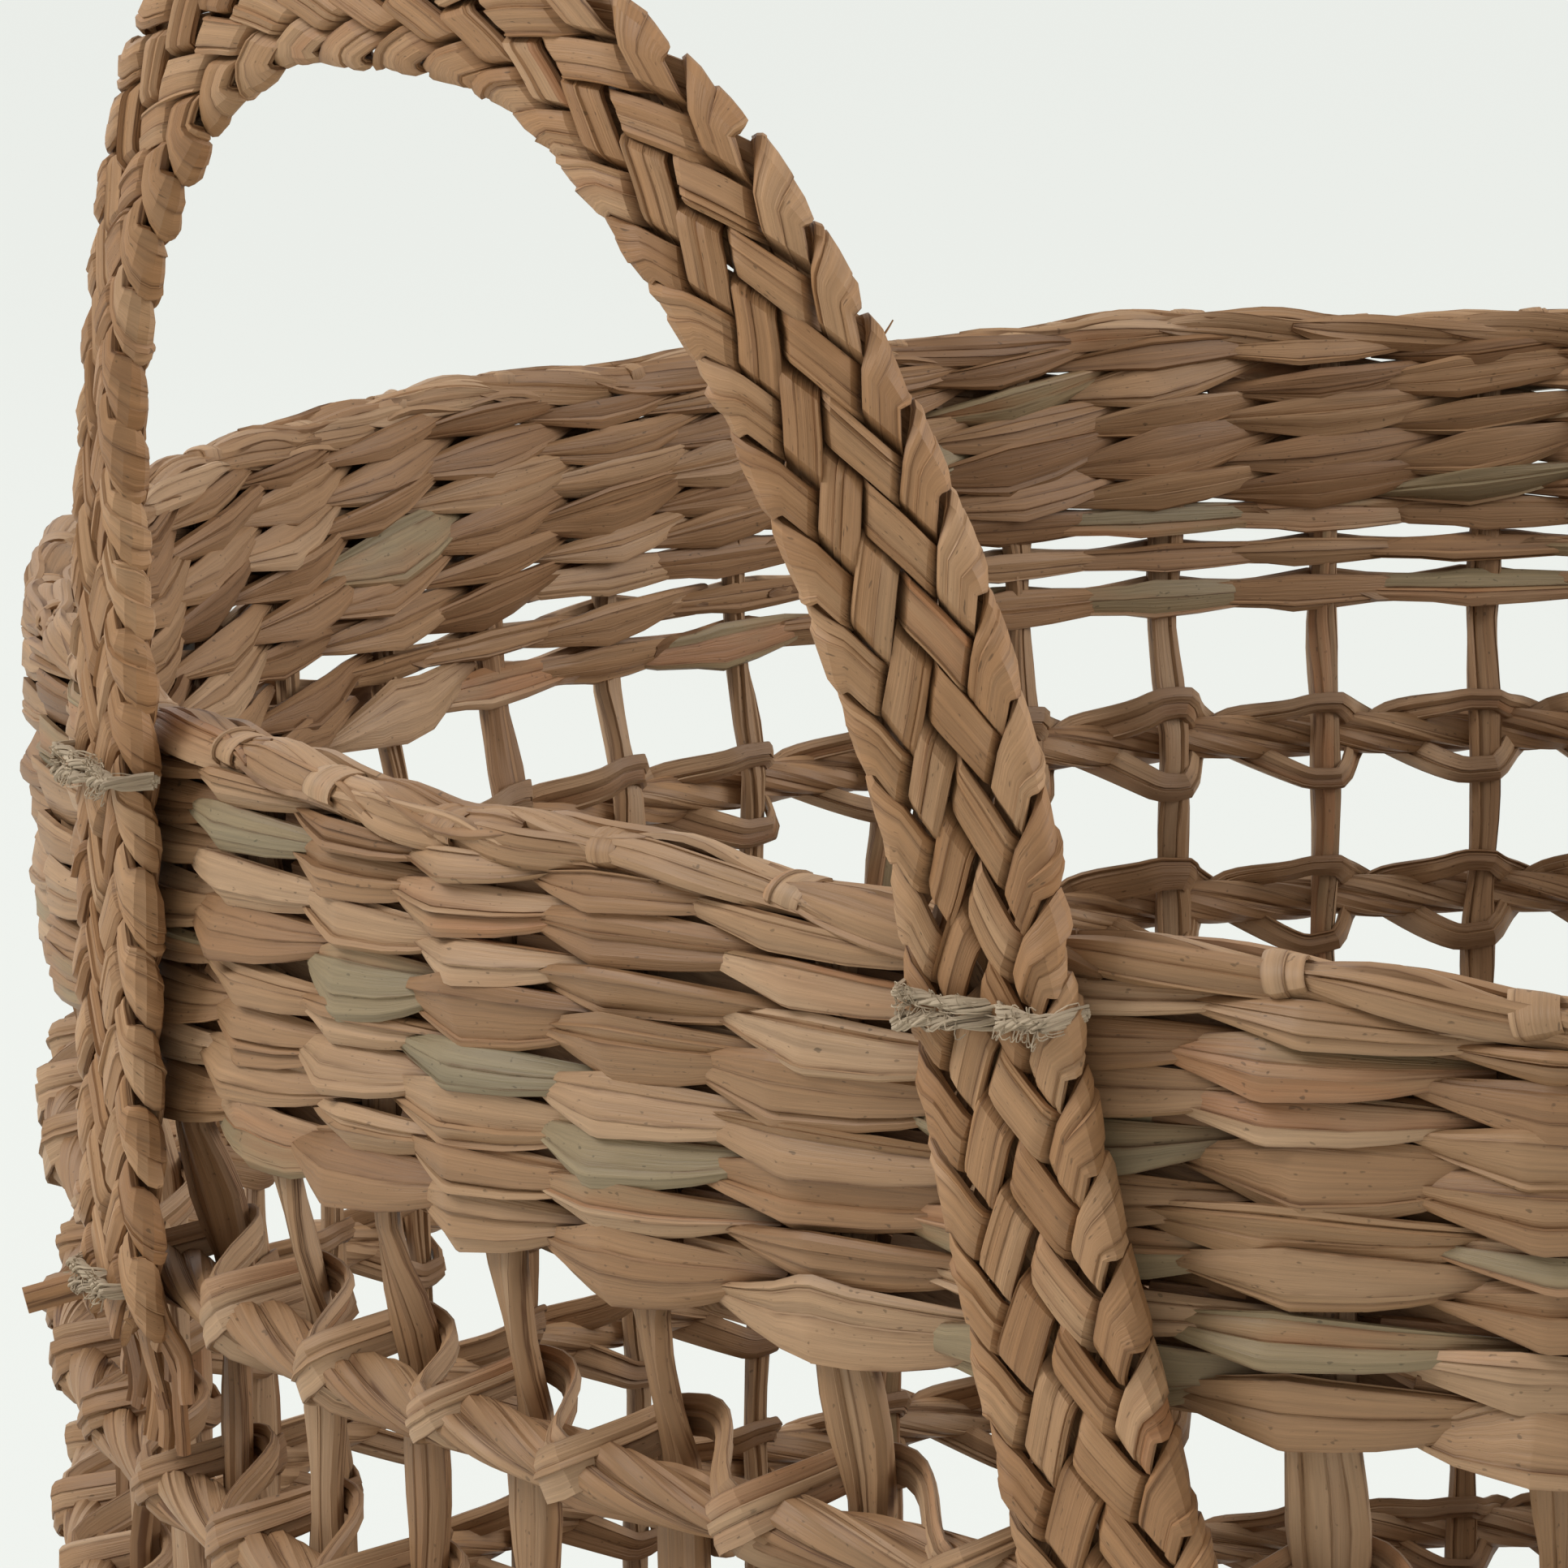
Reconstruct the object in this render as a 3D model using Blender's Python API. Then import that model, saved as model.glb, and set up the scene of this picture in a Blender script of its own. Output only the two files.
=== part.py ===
"""Round seagrass laundry basket with two side loop handles, in metres, +Z up.

The origin is the centre of the underside. The handles face +X and -X.
"""

import math

import bmesh
import bpy
from mathutils import Matrix, Vector

# Overall form: the radius is that of the stakes' centres at the rim,
# from which the wall draws in at the band's foot, the waist and the base
BASKET_HEIGHT = 0.420
RIM_RADIUS = 0.2485
BAND_FLARE = 0.0030
WAIST_DRAW = 0.0044
BODY_TAPER = 0.0145
FIT_GAP = 0.0003

# Stakes, folded in pairs at the base's edge
STAKE_COUNT = 60
STAKE_WIDTH = 0.0074
STAKE_THICKNESS = 0.0030
STAKE_FOLD_HEIGHT = 0.0030
STAKE_PHASE = math.radians(4.0)
STAKE_DRIFT = math.radians(3.8)
STAKE_DRIFT_PHASE = math.radians(54.2)
STAKE_SHIFT = math.radians(-1.9)
STAKE_SHIFT_AZIMUTH = math.radians(184)
STAKE_SHIFT_REACH = math.radians(13)

# Twined weave and base
WEAVE_COVER = 0.0025
BAND_HEIGHT = 0.0495
BASE_THICKNESS = 0.0070

# Rolled rim
RIM_ROLL_HEIGHT = 0.0062
RIM_ROLL_DEPTH = 0.0074
RIM_ROLL_SIDES = 6

# Rope rings round the openwork
RING_COUNT = 6
FIRST_RING_DROP = 0.0695
RING_PITCH = 0.0270
RING_TO_WEAVE = 0.0172
ROPE_DIAMETER = 0.0068
ROPE_SIDES = 6

# Braided handles
BRAID_WIDTH = 0.0175
BRAID_THICKNESS = 0.0065
BRAID_CORNER = 0.0020
HANDLE_HALF_ANGLE = math.radians(16.1)
HANDLE_RISE = 0.0860
HANDLE_TAIL = 0.0038
HANDLE_LEAN = 0.0190
LEAN_POWER = 1.25
RISE_POWER = 1.366
REACH_POWER = 0.784
SHOULDER_TWISTS = (math.radians(38), math.radians(18))
TWIST_POWERS = (1, 3)
LEG_SPLAYS = (math.radians(3.4), math.radians(1.4))
SPLAY_POWER = 1.25
LEG_STATIONS = 5
ARCH_STATIONS = 13

# Twine ties that sew the handles on
TWINE_DIAMETER = 0.0022
TWINE_SIDES = 6
TWINE_CORNER = 0.0012
UPPER_TIE_DROP = 0.0085

# Colours as linear RGB with roughness
LEAF = ((0.35, 0.21, 0.108), 0.60)
LEAF_SHADE = ((0.29, 0.17, 0.085), 0.62)
STAKE_LEAF = ((0.36, 0.22, 0.115), 0.60)
ROPE_LEAF = ((0.32, 0.19, 0.095), 0.62)
BRAID_LEAF = ((0.35, 0.19, 0.087), 0.58)
TWINE = ((0.38, 0.30, 0.21), 0.90)

RIM_ROLL_FOOT = BASKET_HEIGHT - RIM_ROLL_HEIGHT
BAND_FOOT = BASKET_HEIGHT - BAND_HEIGHT
FIRST_RING_LEVEL = BASKET_HEIGHT - FIRST_RING_DROP
LAST_RING_LEVEL = FIRST_RING_LEVEL - RING_PITCH * (RING_COUNT - 1)
LOWER_WEAVE_HEAD = LAST_RING_LEVEL - RING_TO_WEAVE
WAIST_LEVEL = FIRST_RING_LEVEL + ROPE_DIAMETER / 2
STAKE_FOOT = BASE_THICKNESS + FIT_GAP
LOWER_WEAVE_FOOT = STAKE_FOOT + STAKE_FOLD_HEIGHT + FIT_GAP
STAKE_HEAD = RIM_ROLL_FOOT - FIT_GAP
WALL_HALF = STAKE_THICKNESS / 2 + WEAVE_COVER
HANDLE_LEG_LENGTH = FIRST_RING_DROP + HANDLE_TAIL

# Levels and radii that the stakes' centres run through, from the base up;
# the first rope ring draws them in to the waist below the upper band
WAIST_RADIUS = RIM_RADIUS - BAND_FLARE - WAIST_DRAW
WALL_PROFILE = (
    (0.0, WAIST_RADIUS - BODY_TAPER),
    (WAIST_LEVEL, WAIST_RADIUS),
    (BAND_FOOT, RIM_RADIUS - BAND_FLARE),
    (BASKET_HEIGHT, RIM_RADIUS),
)


def clear_scene():
    """Remove whatever the file opened with."""
    for item in list(bpy.data.objects):
        bpy.data.objects.remove(item, do_unlink=True)


def wall_radius(level):
    """Radius of the stakes' centres at a height."""
    for (low, low_radius), (high, high_radius) in zip(WALL_PROFILE, WALL_PROFILE[1:]):
        if level <= high:
            share = (level - low) / (high - low)
            return low_radius + (high_radius - low_radius) * share
    return WALL_PROFILE[-1][1]


def stake_azimuth(index):
    """Azimuth of a stake: even steps with a slow drift, and stakes shifted aside at one place."""
    even = math.tau * index / STAKE_COUNT + STAKE_PHASE
    drift = STAKE_DRIFT * math.sin(even - STAKE_DRIFT_PHASE)
    offset = (even - STAKE_SHIFT_AZIMUTH) / STAKE_SHIFT_REACH
    return even + drift + STAKE_SHIFT * math.exp(-offset ** 2)


def space_azimuth(index):
    """Azimuth halfway between a stake and the next one."""
    return (stake_azimuth(index) + stake_azimuth(index + 1)) / 2


def widest_half_space():
    """Half of the largest angle between neighbouring spaces."""
    widths = [space_azimuth(index) - space_azimuth(index - 1) for index in range(STAKE_COUNT)]
    return max(widths) / 2


def on_wall(radius, azimuth, level):
    """Point at a radius, azimuth and height."""
    return Vector((radius * math.cos(azimuth), radius * math.sin(azimuth), level))


def outward(azimuth):
    """Unit vector pointing out of the basket."""
    return Vector((math.cos(azimuth), math.sin(azimuth), 0))


def along(azimuth):
    """Unit vector pointing round the basket."""
    return Vector((-math.sin(azimuth), math.cos(azimuth), 0))


def make_material(name, finish):
    """Principled material of a colour and a roughness."""
    colour, roughness = finish
    material = bpy.data.materials.new(name)
    material.use_nodes = True
    shader = material.node_tree.nodes["Principled BSDF"]
    shader.inputs["Base Color"].default_value = (*colour, 1)
    shader.inputs["Roughness"].default_value = roughness
    shader.inputs["Metallic"].default_value = 0
    material.diffuse_color = (*colour, 1)
    return material


def add_object(name, mesh_data, finish, smooth_angle=None):
    """Link one closed mesh as a named object with its own material."""
    bmesh.ops.recalc_face_normals(mesh_data, faces=mesh_data.faces)
    mesh = bpy.data.meshes.new(name)
    mesh_data.to_mesh(mesh)
    mesh_data.free()
    if smooth_angle is not None:
        mesh.shade_smooth()
        mesh.set_sharp_from_angle(angle=smooth_angle)
    mesh.materials.append(make_material(name + "_finish", finish))
    item = bpy.data.objects.new(name, mesh)
    bpy.context.scene.collection.objects.link(item)
    return item


def bridge_loops(mesh_data, first, second):
    """Join two vertex loops of equal length with quads."""
    count = len(first)
    for index in range(count):
        following = (index + 1) % count
        mesh_data.faces.new((first[index], first[following], second[following], second[index]))


def ring_mesh(sections):
    """Closed ring through a list of point sections."""
    mesh_data = bmesh.new()
    loops = [[mesh_data.verts.new(point) for point in section] for section in sections]
    for index, loop in enumerate(loops):
        bridge_loops(mesh_data, loop, loops[(index + 1) % len(loops)])
    return mesh_data


def bar_mesh(sections):
    """Closed bar through a list of point sections, capped at both ends."""
    mesh_data = bmesh.new()
    loops = [[mesh_data.verts.new(point) for point in section] for section in sections]
    for first, second in zip(loops, loops[1:]):
        bridge_loops(mesh_data, first, second)
    mesh_data.faces.new(loops[0])
    mesh_data.faces.new(loops[-1])
    return mesh_data


def oval_outline(width, height, sides):
    """Polygon on an oval, with flat faces towards +width and -width."""
    step = math.tau / sides
    grow = 1 / math.cos(step / 2)
    corners = []
    for index in range(sides):
        angle = step * (index + 0.5)
        corners.append((width / 2 * grow * math.cos(angle), height / 2 * math.sin(angle)))
    return corners


def space_ring_sections(radius, level, outline):
    """Sections of a ring that clears the stakes, one in the middle of each space."""
    reach = 1 / math.cos(widest_half_space())
    sections = []
    for index in range(STAKE_COUNT):
        azimuth = space_azimuth(index)
        sections.append([on_wall((radius + across) * reach, azimuth, level + up) for across, up in outline])
    return sections


def stake_corners(azimuth, level, spread):
    """Four corners of a stake's section, grown by a clearance."""
    centre = on_wall(wall_radius(level), azimuth, level)
    half_width = along(azimuth) * (STAKE_WIDTH / 2 + spread)
    half_depth = outward(azimuth) * (STAKE_THICKNESS / 2 + spread)
    return [
        centre + half_width + half_depth,
        centre + half_width - half_depth,
        centre - half_width - half_depth,
        centre - half_width + half_depth,
    ]


def build_stake_pair(number):
    """One leaf bundle, folded at the base's edge, that rises as two neighbouring stakes."""
    levels = (STAKE_FOOT, STAKE_FOOT + STAKE_FOLD_HEIGHT, WAIST_LEVEL, BAND_FOOT, STAKE_HEAD)
    first_index = 2 * (number - 1)
    mesh_data = bmesh.new()
    legs = []
    for index in (first_index, first_index + 1):
        azimuth = stake_azimuth(index)
        legs.append([[mesh_data.verts.new(point) for point in stake_corners(azimuth, level, 0)] for level in levels])
    left, right = legs
    for leg in legs:
        mesh_data.faces.new(leg[0])
        mesh_data.faces.new(leg[-1])
        for low, high in zip(leg[1:], leg[2:]):
            bridge_loops(mesh_data, low, high)
    for leg, open_side in ((left, 0), (right, 2)):
        for side in range(4):
            if side != open_side:
                following = (side + 1) % 4
                low, high = leg[0], leg[1]
                mesh_data.faces.new((low[side], low[following], high[following], high[side]))
    left_face = [left[0][0], left[0][1], left[1][1], left[1][0]]
    right_face = [right[0][3], right[0][2], right[1][2], right[1][3]]
    bridge_loops(mesh_data, left_face, right_face)
    return add_object("stake_pair_%02d" % number, mesh_data, STAKE_LEAF)


def weave_corners(index, level):
    """Outer and inner wall corner in the space after a stake."""
    azimuth = space_azimuth(index)
    radius = wall_radius(level)
    return on_wall(radius + WALL_HALF, azimuth, level), on_wall(radius - WALL_HALF, azimuth, level)


def build_weave(name, foot, head, finish):
    """Twined wall as a closed band that every stake passes through in its own slot."""
    mesh_data = bmesh.new()
    walls = []
    slots = []
    for level in (foot, head):
        corners = [weave_corners(index, level) for index in range(STAKE_COUNT)]
        walls.append([[mesh_data.verts.new(point) for point in pair] for pair in corners])
        holes = [stake_corners(stake_azimuth(index), level, FIT_GAP) for index in range(STAKE_COUNT)]
        slots.append([[mesh_data.verts.new(point) for point in hole] for hole in holes])
    for index in range(STAKE_COUNT):
        for wall, slot in zip(walls, slots):
            before = wall[index - 1]
            after = wall[index]
            hole = slot[index]
            mesh_data.faces.new((before[0], after[0], hole[0], hole[3]))
            mesh_data.faces.new((after[0], after[1], hole[1], hole[0]))
            mesh_data.faces.new((after[1], before[1], hole[2], hole[1]))
            mesh_data.faces.new((before[1], before[0], hole[3], hole[2]))
        bridge_loops(mesh_data, slots[0][index], slots[1][index])
        for side in range(2):
            low_before, low_after = walls[0][index - 1][side], walls[0][index][side]
            high_before, high_after = walls[1][index - 1][side], walls[1][index][side]
            mesh_data.faces.new((low_before, low_after, high_after, high_before))
    return add_object(name, mesh_data, finish)


def build_base():
    """Woven base, a flat round mat under the wall."""
    rings = []
    for level in (0.0, BASE_THICKNESS):
        radius = wall_radius(level) + WALL_HALF
        rings.append([on_wall(radius, space_azimuth(index), level) for index in range(STAKE_COUNT)])
    return add_object("base_mat", bar_mesh(rings), LEAF_SHADE)


def build_rim():
    """Leaf bundle rolled along the top of the wall."""
    outline = oval_outline(RIM_ROLL_DEPTH, RIM_ROLL_HEIGHT, RIM_ROLL_SIDES)
    level = RIM_ROLL_FOOT + RIM_ROLL_HEIGHT / 2
    mesh_data = ring_mesh(space_ring_sections(wall_radius(level), level, outline))
    return add_object("rim_roll", mesh_data, LEAF, math.radians(70))


def ring_level(number):
    """Height of a rope ring, counted from the top."""
    return FIRST_RING_LEVEL - RING_PITCH * (number - 1)


def rope_radius(level):
    """Radius of a rope ring's centre, lying on the stakes' outer faces."""
    return wall_radius(level) + STAKE_THICKNESS / 2 + FIT_GAP + ROPE_DIAMETER / 2


def build_ring_rope(number):
    """Rope ring lashed round the outside of the stakes."""
    level = ring_level(number)
    outline = oval_outline(ROPE_DIAMETER, ROPE_DIAMETER, ROPE_SIDES)
    mesh_data = ring_mesh(space_ring_sections(rope_radius(level), level, outline))
    return add_object("ring_rope_%d" % number, mesh_data, ROPE_LEAF, math.radians(70))


def leg_radius(drop):
    """Radius of a handle leg's centre at a depth below the rim, clear of weave, rim roll and rope."""
    reach = 1 / math.cos(widest_half_space())
    rim_rest = max(RIM_RADIUS + WALL_HALF, (RIM_RADIUS + RIM_ROLL_DEPTH / 2) * reach)
    rope_rest = (rope_radius(FIRST_RING_LEVEL) + ROPE_DIAMETER / 2) * reach
    rest = rim_rest + (rope_rest - rim_rest) * drop / FIRST_RING_DROP
    return rest + FIT_GAP + BRAID_THICKNESS / 2


def leg_frame(side, drop):
    """Centre, facing and azimuth of a leg of the +X handle; side is -1 or 1."""
    splay = LEG_SPLAYS[0] if side > 0 else LEG_SPLAYS[1]
    azimuth = side * (HANDLE_HALF_ANGLE + splay * (drop / HANDLE_LEG_LENGTH) ** SPLAY_POWER)
    return on_wall(leg_radius(drop), azimuth, BASKET_HEIGHT - drop), outward(azimuth), azimuth


def leg_slant(side, drop):
    """Sideways run of a leg for each unit of height."""
    splay = LEG_SPLAYS[0] if side > 0 else LEG_SPLAYS[1]
    turn_rate = splay * SPLAY_POWER * (drop / HANDLE_LEG_LENGTH) ** (SPLAY_POWER - 1) / HANDLE_LEG_LENGTH
    return turn_rate * leg_radius(drop)


def arch_frame(side, angle):
    """Centre and facing of the +X handle's arch; angle runs from 0 at a leg to 90 degrees."""
    climb = math.sin(angle) ** RISE_POWER
    reach = math.cos(angle) ** REACH_POWER
    start = on_wall(leg_radius(0), side * HANDLE_HALF_ANGLE, BASKET_HEIGHT)
    lean = HANDLE_LEAN * climb ** LEAN_POWER
    centre = Vector((start.x + lean, start.y * reach, start.z + HANDLE_RISE * climb))
    tilt = math.atan2(HANDLE_LEAN * climb, HANDLE_RISE)
    leg = 0 if side > 0 else 1
    twist = SHOULDER_TWISTS[leg] * math.sin(2 * angle) ** TWIST_POWERS[leg]
    turn = HANDLE_HALF_ANGLE * math.cos(angle) + twist
    facing = outward(side * turn) * math.cos(tilt) - Vector((0, 0, math.sin(tilt)))
    return centre, facing


def handle_frames():
    """Centres and facings along the +X handle, from one leg's foot to the other's."""
    halves = []
    for side in (-1, 1):
        drops = [HANDLE_LEG_LENGTH * (1 - step / LEG_STATIONS) for step in range(LEG_STATIONS)]
        half = [leg_frame(side, drop)[:2] for drop in drops]
        angles = [math.pi / 2 * step / ARCH_STATIONS for step in range(ARCH_STATIONS)]
        half += [arch_frame(side, angle) for angle in angles]
        halves.append(half)
    top = arch_frame(1, math.pi / 2)
    return halves[0] + [top] + halves[1][::-1]


def braid_outline():
    """Section of the flat braid, across its width and through its thickness."""
    half_width = BRAID_WIDTH / 2
    half_depth = BRAID_THICKNESS / 2
    narrow = half_width - BRAID_CORNER
    shallow = half_depth - BRAID_CORNER
    quarter = ((half_width, shallow), (narrow, half_depth))
    corners = list(quarter)
    corners += [(-across, out) for across, out in reversed(quarter)]
    corners += [(-across, -out) for across, out in quarter]
    corners += [(across, -out) for across, out in reversed(quarter)]
    return corners


def section_points(centre, across, out, outline):
    """Outline points set in the plane of two directions."""
    return [centre + across * side + out * depth for side, depth in outline]


def build_handle(name, turn):
    """Flat braid that rises from two legs on the wall and arches over."""
    frames = handle_frames()
    outline = braid_outline()
    rotation = Matrix.Rotation(turn, 3, "Z")
    sections = []
    for index, (centre, facing) in enumerate(frames):
        before = frames[max(index - 1, 0)][0]
        after = frames[min(index + 1, len(frames) - 1)][0]
        forward = (after - before).normalized()
        out = (facing - forward * facing.dot(forward)).normalized()
        across = forward.cross(out)
        sections.append([rotation @ point for point in section_points(centre, across, out, outline)])
    return add_object(name, bar_mesh(sections), BRAID_LEAF, math.radians(50))


def tie_route(drop, slant, rest_radius):
    """Twine's path over a slanting leg: offsets across the leg and out from its centre."""
    twine_half = TWINE_DIAMETER / 2
    side = BRAID_WIDTH / 2 * math.hypot(1, slant) + slant * twine_half + FIT_GAP + twine_half
    top = BRAID_THICKNESS / 2 + FIT_GAP + twine_half
    foot = rest_radius + FIT_GAP - leg_radius(drop)
    return (
        (-side, foot),
        (-side, top - TWINE_CORNER),
        (-side + TWINE_CORNER, top),
        (side - TWINE_CORNER, top),
        (side, top - TWINE_CORNER),
        (side, foot),
    )


def build_tie(name, turn, side, drop, rest_radius):
    """Twine stitch over a handle's leg, with both ends at the wall."""
    centre, out, azimuth = leg_frame(side, drop)
    across = along(azimuth)
    rotation = Matrix.Rotation(turn, 3, "Z")
    route = tie_route(drop, leg_slant(side, drop), rest_radius)
    outline = oval_outline(TWINE_DIAMETER, TWINE_DIAMETER, TWINE_SIDES)
    points = [centre + across * offset + out * depth for offset, depth in route]
    up = Vector((0, 0, 1))
    sections = []
    for index, point in enumerate(points):
        before = points[max(index - 1, 0)]
        after = points[min(index + 1, len(points) - 1)]
        forward = (after - before).normalized()
        sideways = forward.cross(up)
        sections.append([rotation @ corner for corner in section_points(point, sideways, up, outline)])
    return add_object(name, bar_mesh(sections), TWINE, math.radians(70))


def build_ties(handle_name, turn):
    """Four twine stitches of one handle: each leg at the rim and at the first rope ring."""
    upper_rest = wall_radius(BASKET_HEIGHT - UPPER_TIE_DROP) + WALL_HALF
    lower_rest = rope_radius(FIRST_RING_LEVEL) + ROPE_DIAMETER / 2
    for side, leg_name in ((-1, "right"), (1, "left")):
        build_tie(handle_name + "_tie_upper_" + leg_name, turn, side, UPPER_TIE_DROP, upper_rest)
        build_tie(handle_name + "_tie_lower_" + leg_name, turn, side, FIRST_RING_DROP, lower_rest)


def main():
    """Build every piece of the basket."""
    clear_scene()
    build_base()
    for number in range(1, STAKE_COUNT // 2 + 1):
        build_stake_pair(number)
    build_weave("lower_weave", LOWER_WEAVE_FOOT, LOWER_WEAVE_HEAD, LEAF_SHADE)
    build_weave("upper_weave", BAND_FOOT, STAKE_HEAD, LEAF)
    for number in range(1, RING_COUNT + 1):
        build_ring_rope(number)
    build_rim()
    for name, turn in (("handle_a", math.pi), ("handle_b", 0.0)):
        build_handle(name, turn)
        build_ties(name, turn)


main()
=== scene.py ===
"""Looks of a round seagrass laundry basket, woven strip by strip on its CAD frame.

Stakes, twined rows, ropes, lashings and braids are all flat leaf strips with creases.
Lengths are in metres and angles in radians. The origin is the centre of the underside.
"""

import logging
import math
from dataclasses import dataclass
from enum import Enum

import bpy
import numpy as np
from mathutils import Matrix, Vector


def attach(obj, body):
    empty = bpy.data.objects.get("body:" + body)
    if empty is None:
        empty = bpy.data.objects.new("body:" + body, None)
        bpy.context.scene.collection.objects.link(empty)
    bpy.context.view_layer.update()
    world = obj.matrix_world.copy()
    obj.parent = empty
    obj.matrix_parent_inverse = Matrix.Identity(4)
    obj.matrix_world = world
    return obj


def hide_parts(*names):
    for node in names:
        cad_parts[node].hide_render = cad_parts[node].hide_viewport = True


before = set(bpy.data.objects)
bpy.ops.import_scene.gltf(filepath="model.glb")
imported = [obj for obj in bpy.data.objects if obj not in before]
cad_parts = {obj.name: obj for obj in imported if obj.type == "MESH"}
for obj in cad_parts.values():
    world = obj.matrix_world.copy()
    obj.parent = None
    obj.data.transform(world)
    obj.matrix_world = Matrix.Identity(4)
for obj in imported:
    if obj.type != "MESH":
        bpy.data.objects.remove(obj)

LOG = logging.getLogger("basket")
Array = np.ndarray
Random = np.random.Generator
Material, Node, NodeTree = bpy.types.Material, bpy.types.Node, bpy.types.NodeTree
Socket = bpy.types.NodeSocket
BODY = "root"
SEED = 20
MM = 0.001
GRAIN_ATTRIBUTE = "leaf_grain"
SHADE_ATTRIBUTE = "leaf_shade"
SHARP_ANGLE = math.radians(28)
WAVE_SHARES = (0.6, 1.0, 1.7)
TONE_LIMITS = (0.01, 0.99)
LEAF_TONES = (0.05, 0.7)
GRAIN_OFFSET = 3
UP = np.array([0.0, 0.0, 1.0])


class Face(Enum):
    """Which sides of a strip are made of separate leaves."""

    FRONT = "front"
    BOTH = "both"
    ROUND = "round"


@dataclass(frozen=True)
class LeafCut:
    """Cross-section of a strip: leaves side by side, each a flat facet with a fold."""

    leaves: int = 3
    thickness: float = 1.2 * MM
    relief: float = 0.30 * MM
    crown: float = 0.22 * MM
    swell: float = 0.0
    face: Face = Face.FRONT
    sides: int = 8
    narrowest: float = 0.16
    width_power: float = 1.8
    fold_range: tuple = (0.3, 0.7)
    seam: float = 0.02
    edge_sink: float = 0.25
    rear_edge: float = 0.9

    def row(self, rng: Random, count: int) -> tuple[Array, Array, Array]:
        """One face of leaves for many strips.

        Args:
            rng: Source of the leaves' widths and tilts.
            count: Number of strips.

        Returns:
            Places across from -1 to 1, depths above the face, and places across each leaf.
        """
        shape = (count, self.leaves)
        widths = self.narrowest + rng.random(shape) ** self.width_power
        ends = np.cumsum(widths, 1) / widths.sum(1, keepdims=True) * 2 - 1
        edges = np.concatenate([np.full((count, 1), -1.0), ends], 1)
        base = rng.uniform(-1, 1, shape) * self.relief
        tilt = rng.uniform(-1, 1, shape) * self.relief
        fold = rng.uniform(*self.fold_range, shape)
        left, right = edges[:, :-1] + self.seam, edges[:, 1:] - self.seam
        places = np.stack([left, left + (right - left) * fold, right], 2)
        depths = np.stack([base + tilt, base + self.crown, base - tilt], 2)
        depths[:, 0, 0] = -self.thickness * self.edge_sink
        depths[:, -1, 2] = -self.thickness * self.edge_sink
        depths += self.swell * (1 - places**2)
        edge = np.stack([-np.ones_like(fold), fold * 2 - 1, np.ones_like(fold)], 2)
        return places.reshape(count, -1), depths.reshape(count, -1), edge.reshape(count, -1)

    def sections(self, rng: Random, count: int) -> tuple[Array, Array, Array, Array]:
        """Whole cross-sections for many strips.

        Args:
            rng: Source of variation.
            count: Number of strips.

        Returns:
            Places across, depths, places across each leaf and leaf numbers, one row for a strip.
        """
        if self.face is Face.ROUND:
            angles = math.pi - np.arange(self.sides) * math.tau / self.sides
            across = np.tile(np.cos(angles), (count, 1))
            return across, np.tile(np.sin(angles), (count, 1)), np.zeros_like(across), np.zeros_like(across)
        places, depths, edges = self.row(rng, count)
        numbers = np.tile(np.repeat(np.arange(self.leaves), 3), (count, 1))
        half = self.thickness / 2
        if self.face is Face.BOTH:
            back, back_depths, back_edges = self.row(rng, count)
            places = np.concatenate([places, back[:, ::-1]], 1)
            depths = np.concatenate([depths + half, -half - back_depths[:, ::-1]], 1)
            edges = np.concatenate([edges, back_edges[:, ::-1]], 1)
            return places, depths, edges, np.concatenate([numbers, numbers[:, ::-1] + self.leaves], 1)
        rear = np.tile(np.array([self.rear_edge, -self.rear_edge]), (count, 1))
        places = np.concatenate([places, rear], 1)
        depths = np.concatenate([depths + half, np.full_like(rear, -half)], 1)
        edges = np.concatenate([edges, np.full_like(rear, self.rear_edge)], 1)
        return places, depths, edges, np.concatenate([numbers, numbers[:, -1:], numbers[:, :1]], 1)


def unit(vectors: Array) -> Array:
    """Vectors scaled to length one."""
    return vectors / np.maximum(np.linalg.norm(vectors, axis=-1, keepdims=True), 1e-9)


def smooth(share: Array) -> Array:
    """Ease from 0 to 1 with level ends."""
    share = np.clip(share, 0, 1)
    return share * share * (3 - 2 * share)


def outward(azimuth: Array) -> Array:
    """Level directions at azimuths."""
    return np.stack([np.cos(azimuth), np.sin(azimuth), np.zeros_like(azimuth)], -1)


def sideways(out: Array) -> Array:
    """Level directions a quarter turn anticlockwise from outward ones."""
    return np.stack([-out[..., 1], out[..., 0], np.zeros_like(out[..., 0])], -1)


def wander(rng: Random, count: int, way: Array, waves: float, size: float) -> Array:
    """Slow random drift along strips.

    Args:
        rng: Source of phases.
        count: Number of strips.
        way: Places along a strip, from 0 to 1.
        waves: About how many waves fit along a strip.
        size: Largest drift.

    Returns:
        Drifts with one row for a strip and one column for a place.
    """
    total = np.zeros((count, len(way)))
    for share in WAVE_SHARES:
        phase = rng.uniform(0, math.tau, (count, 1))
        total += np.sin(way[None, :] * math.tau * waves * share + phase)
    return total * size / len(WAVE_SHARES)


def add_node(tree: NodeTree, kind: str, inputs: dict | None = None, **settings: object) -> Node:
    """Add a shader node, set it up and feed its inputs.

    Args:
        tree: Tree that the node belongs to.
        kind: Node type.
        inputs: Values or sockets, by the input's name or number.
        settings: Properties of the node.

    Returns:
        The node.
    """
    node = tree.nodes.new(kind)
    for name, value in settings.items():
        setattr(node, name, value)
    for key, value in (inputs or {}).items():
        if isinstance(value, Socket):
            tree.links.new(value, node.inputs[key])
        else:
            node.inputs[key].default_value = value
    return node


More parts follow.
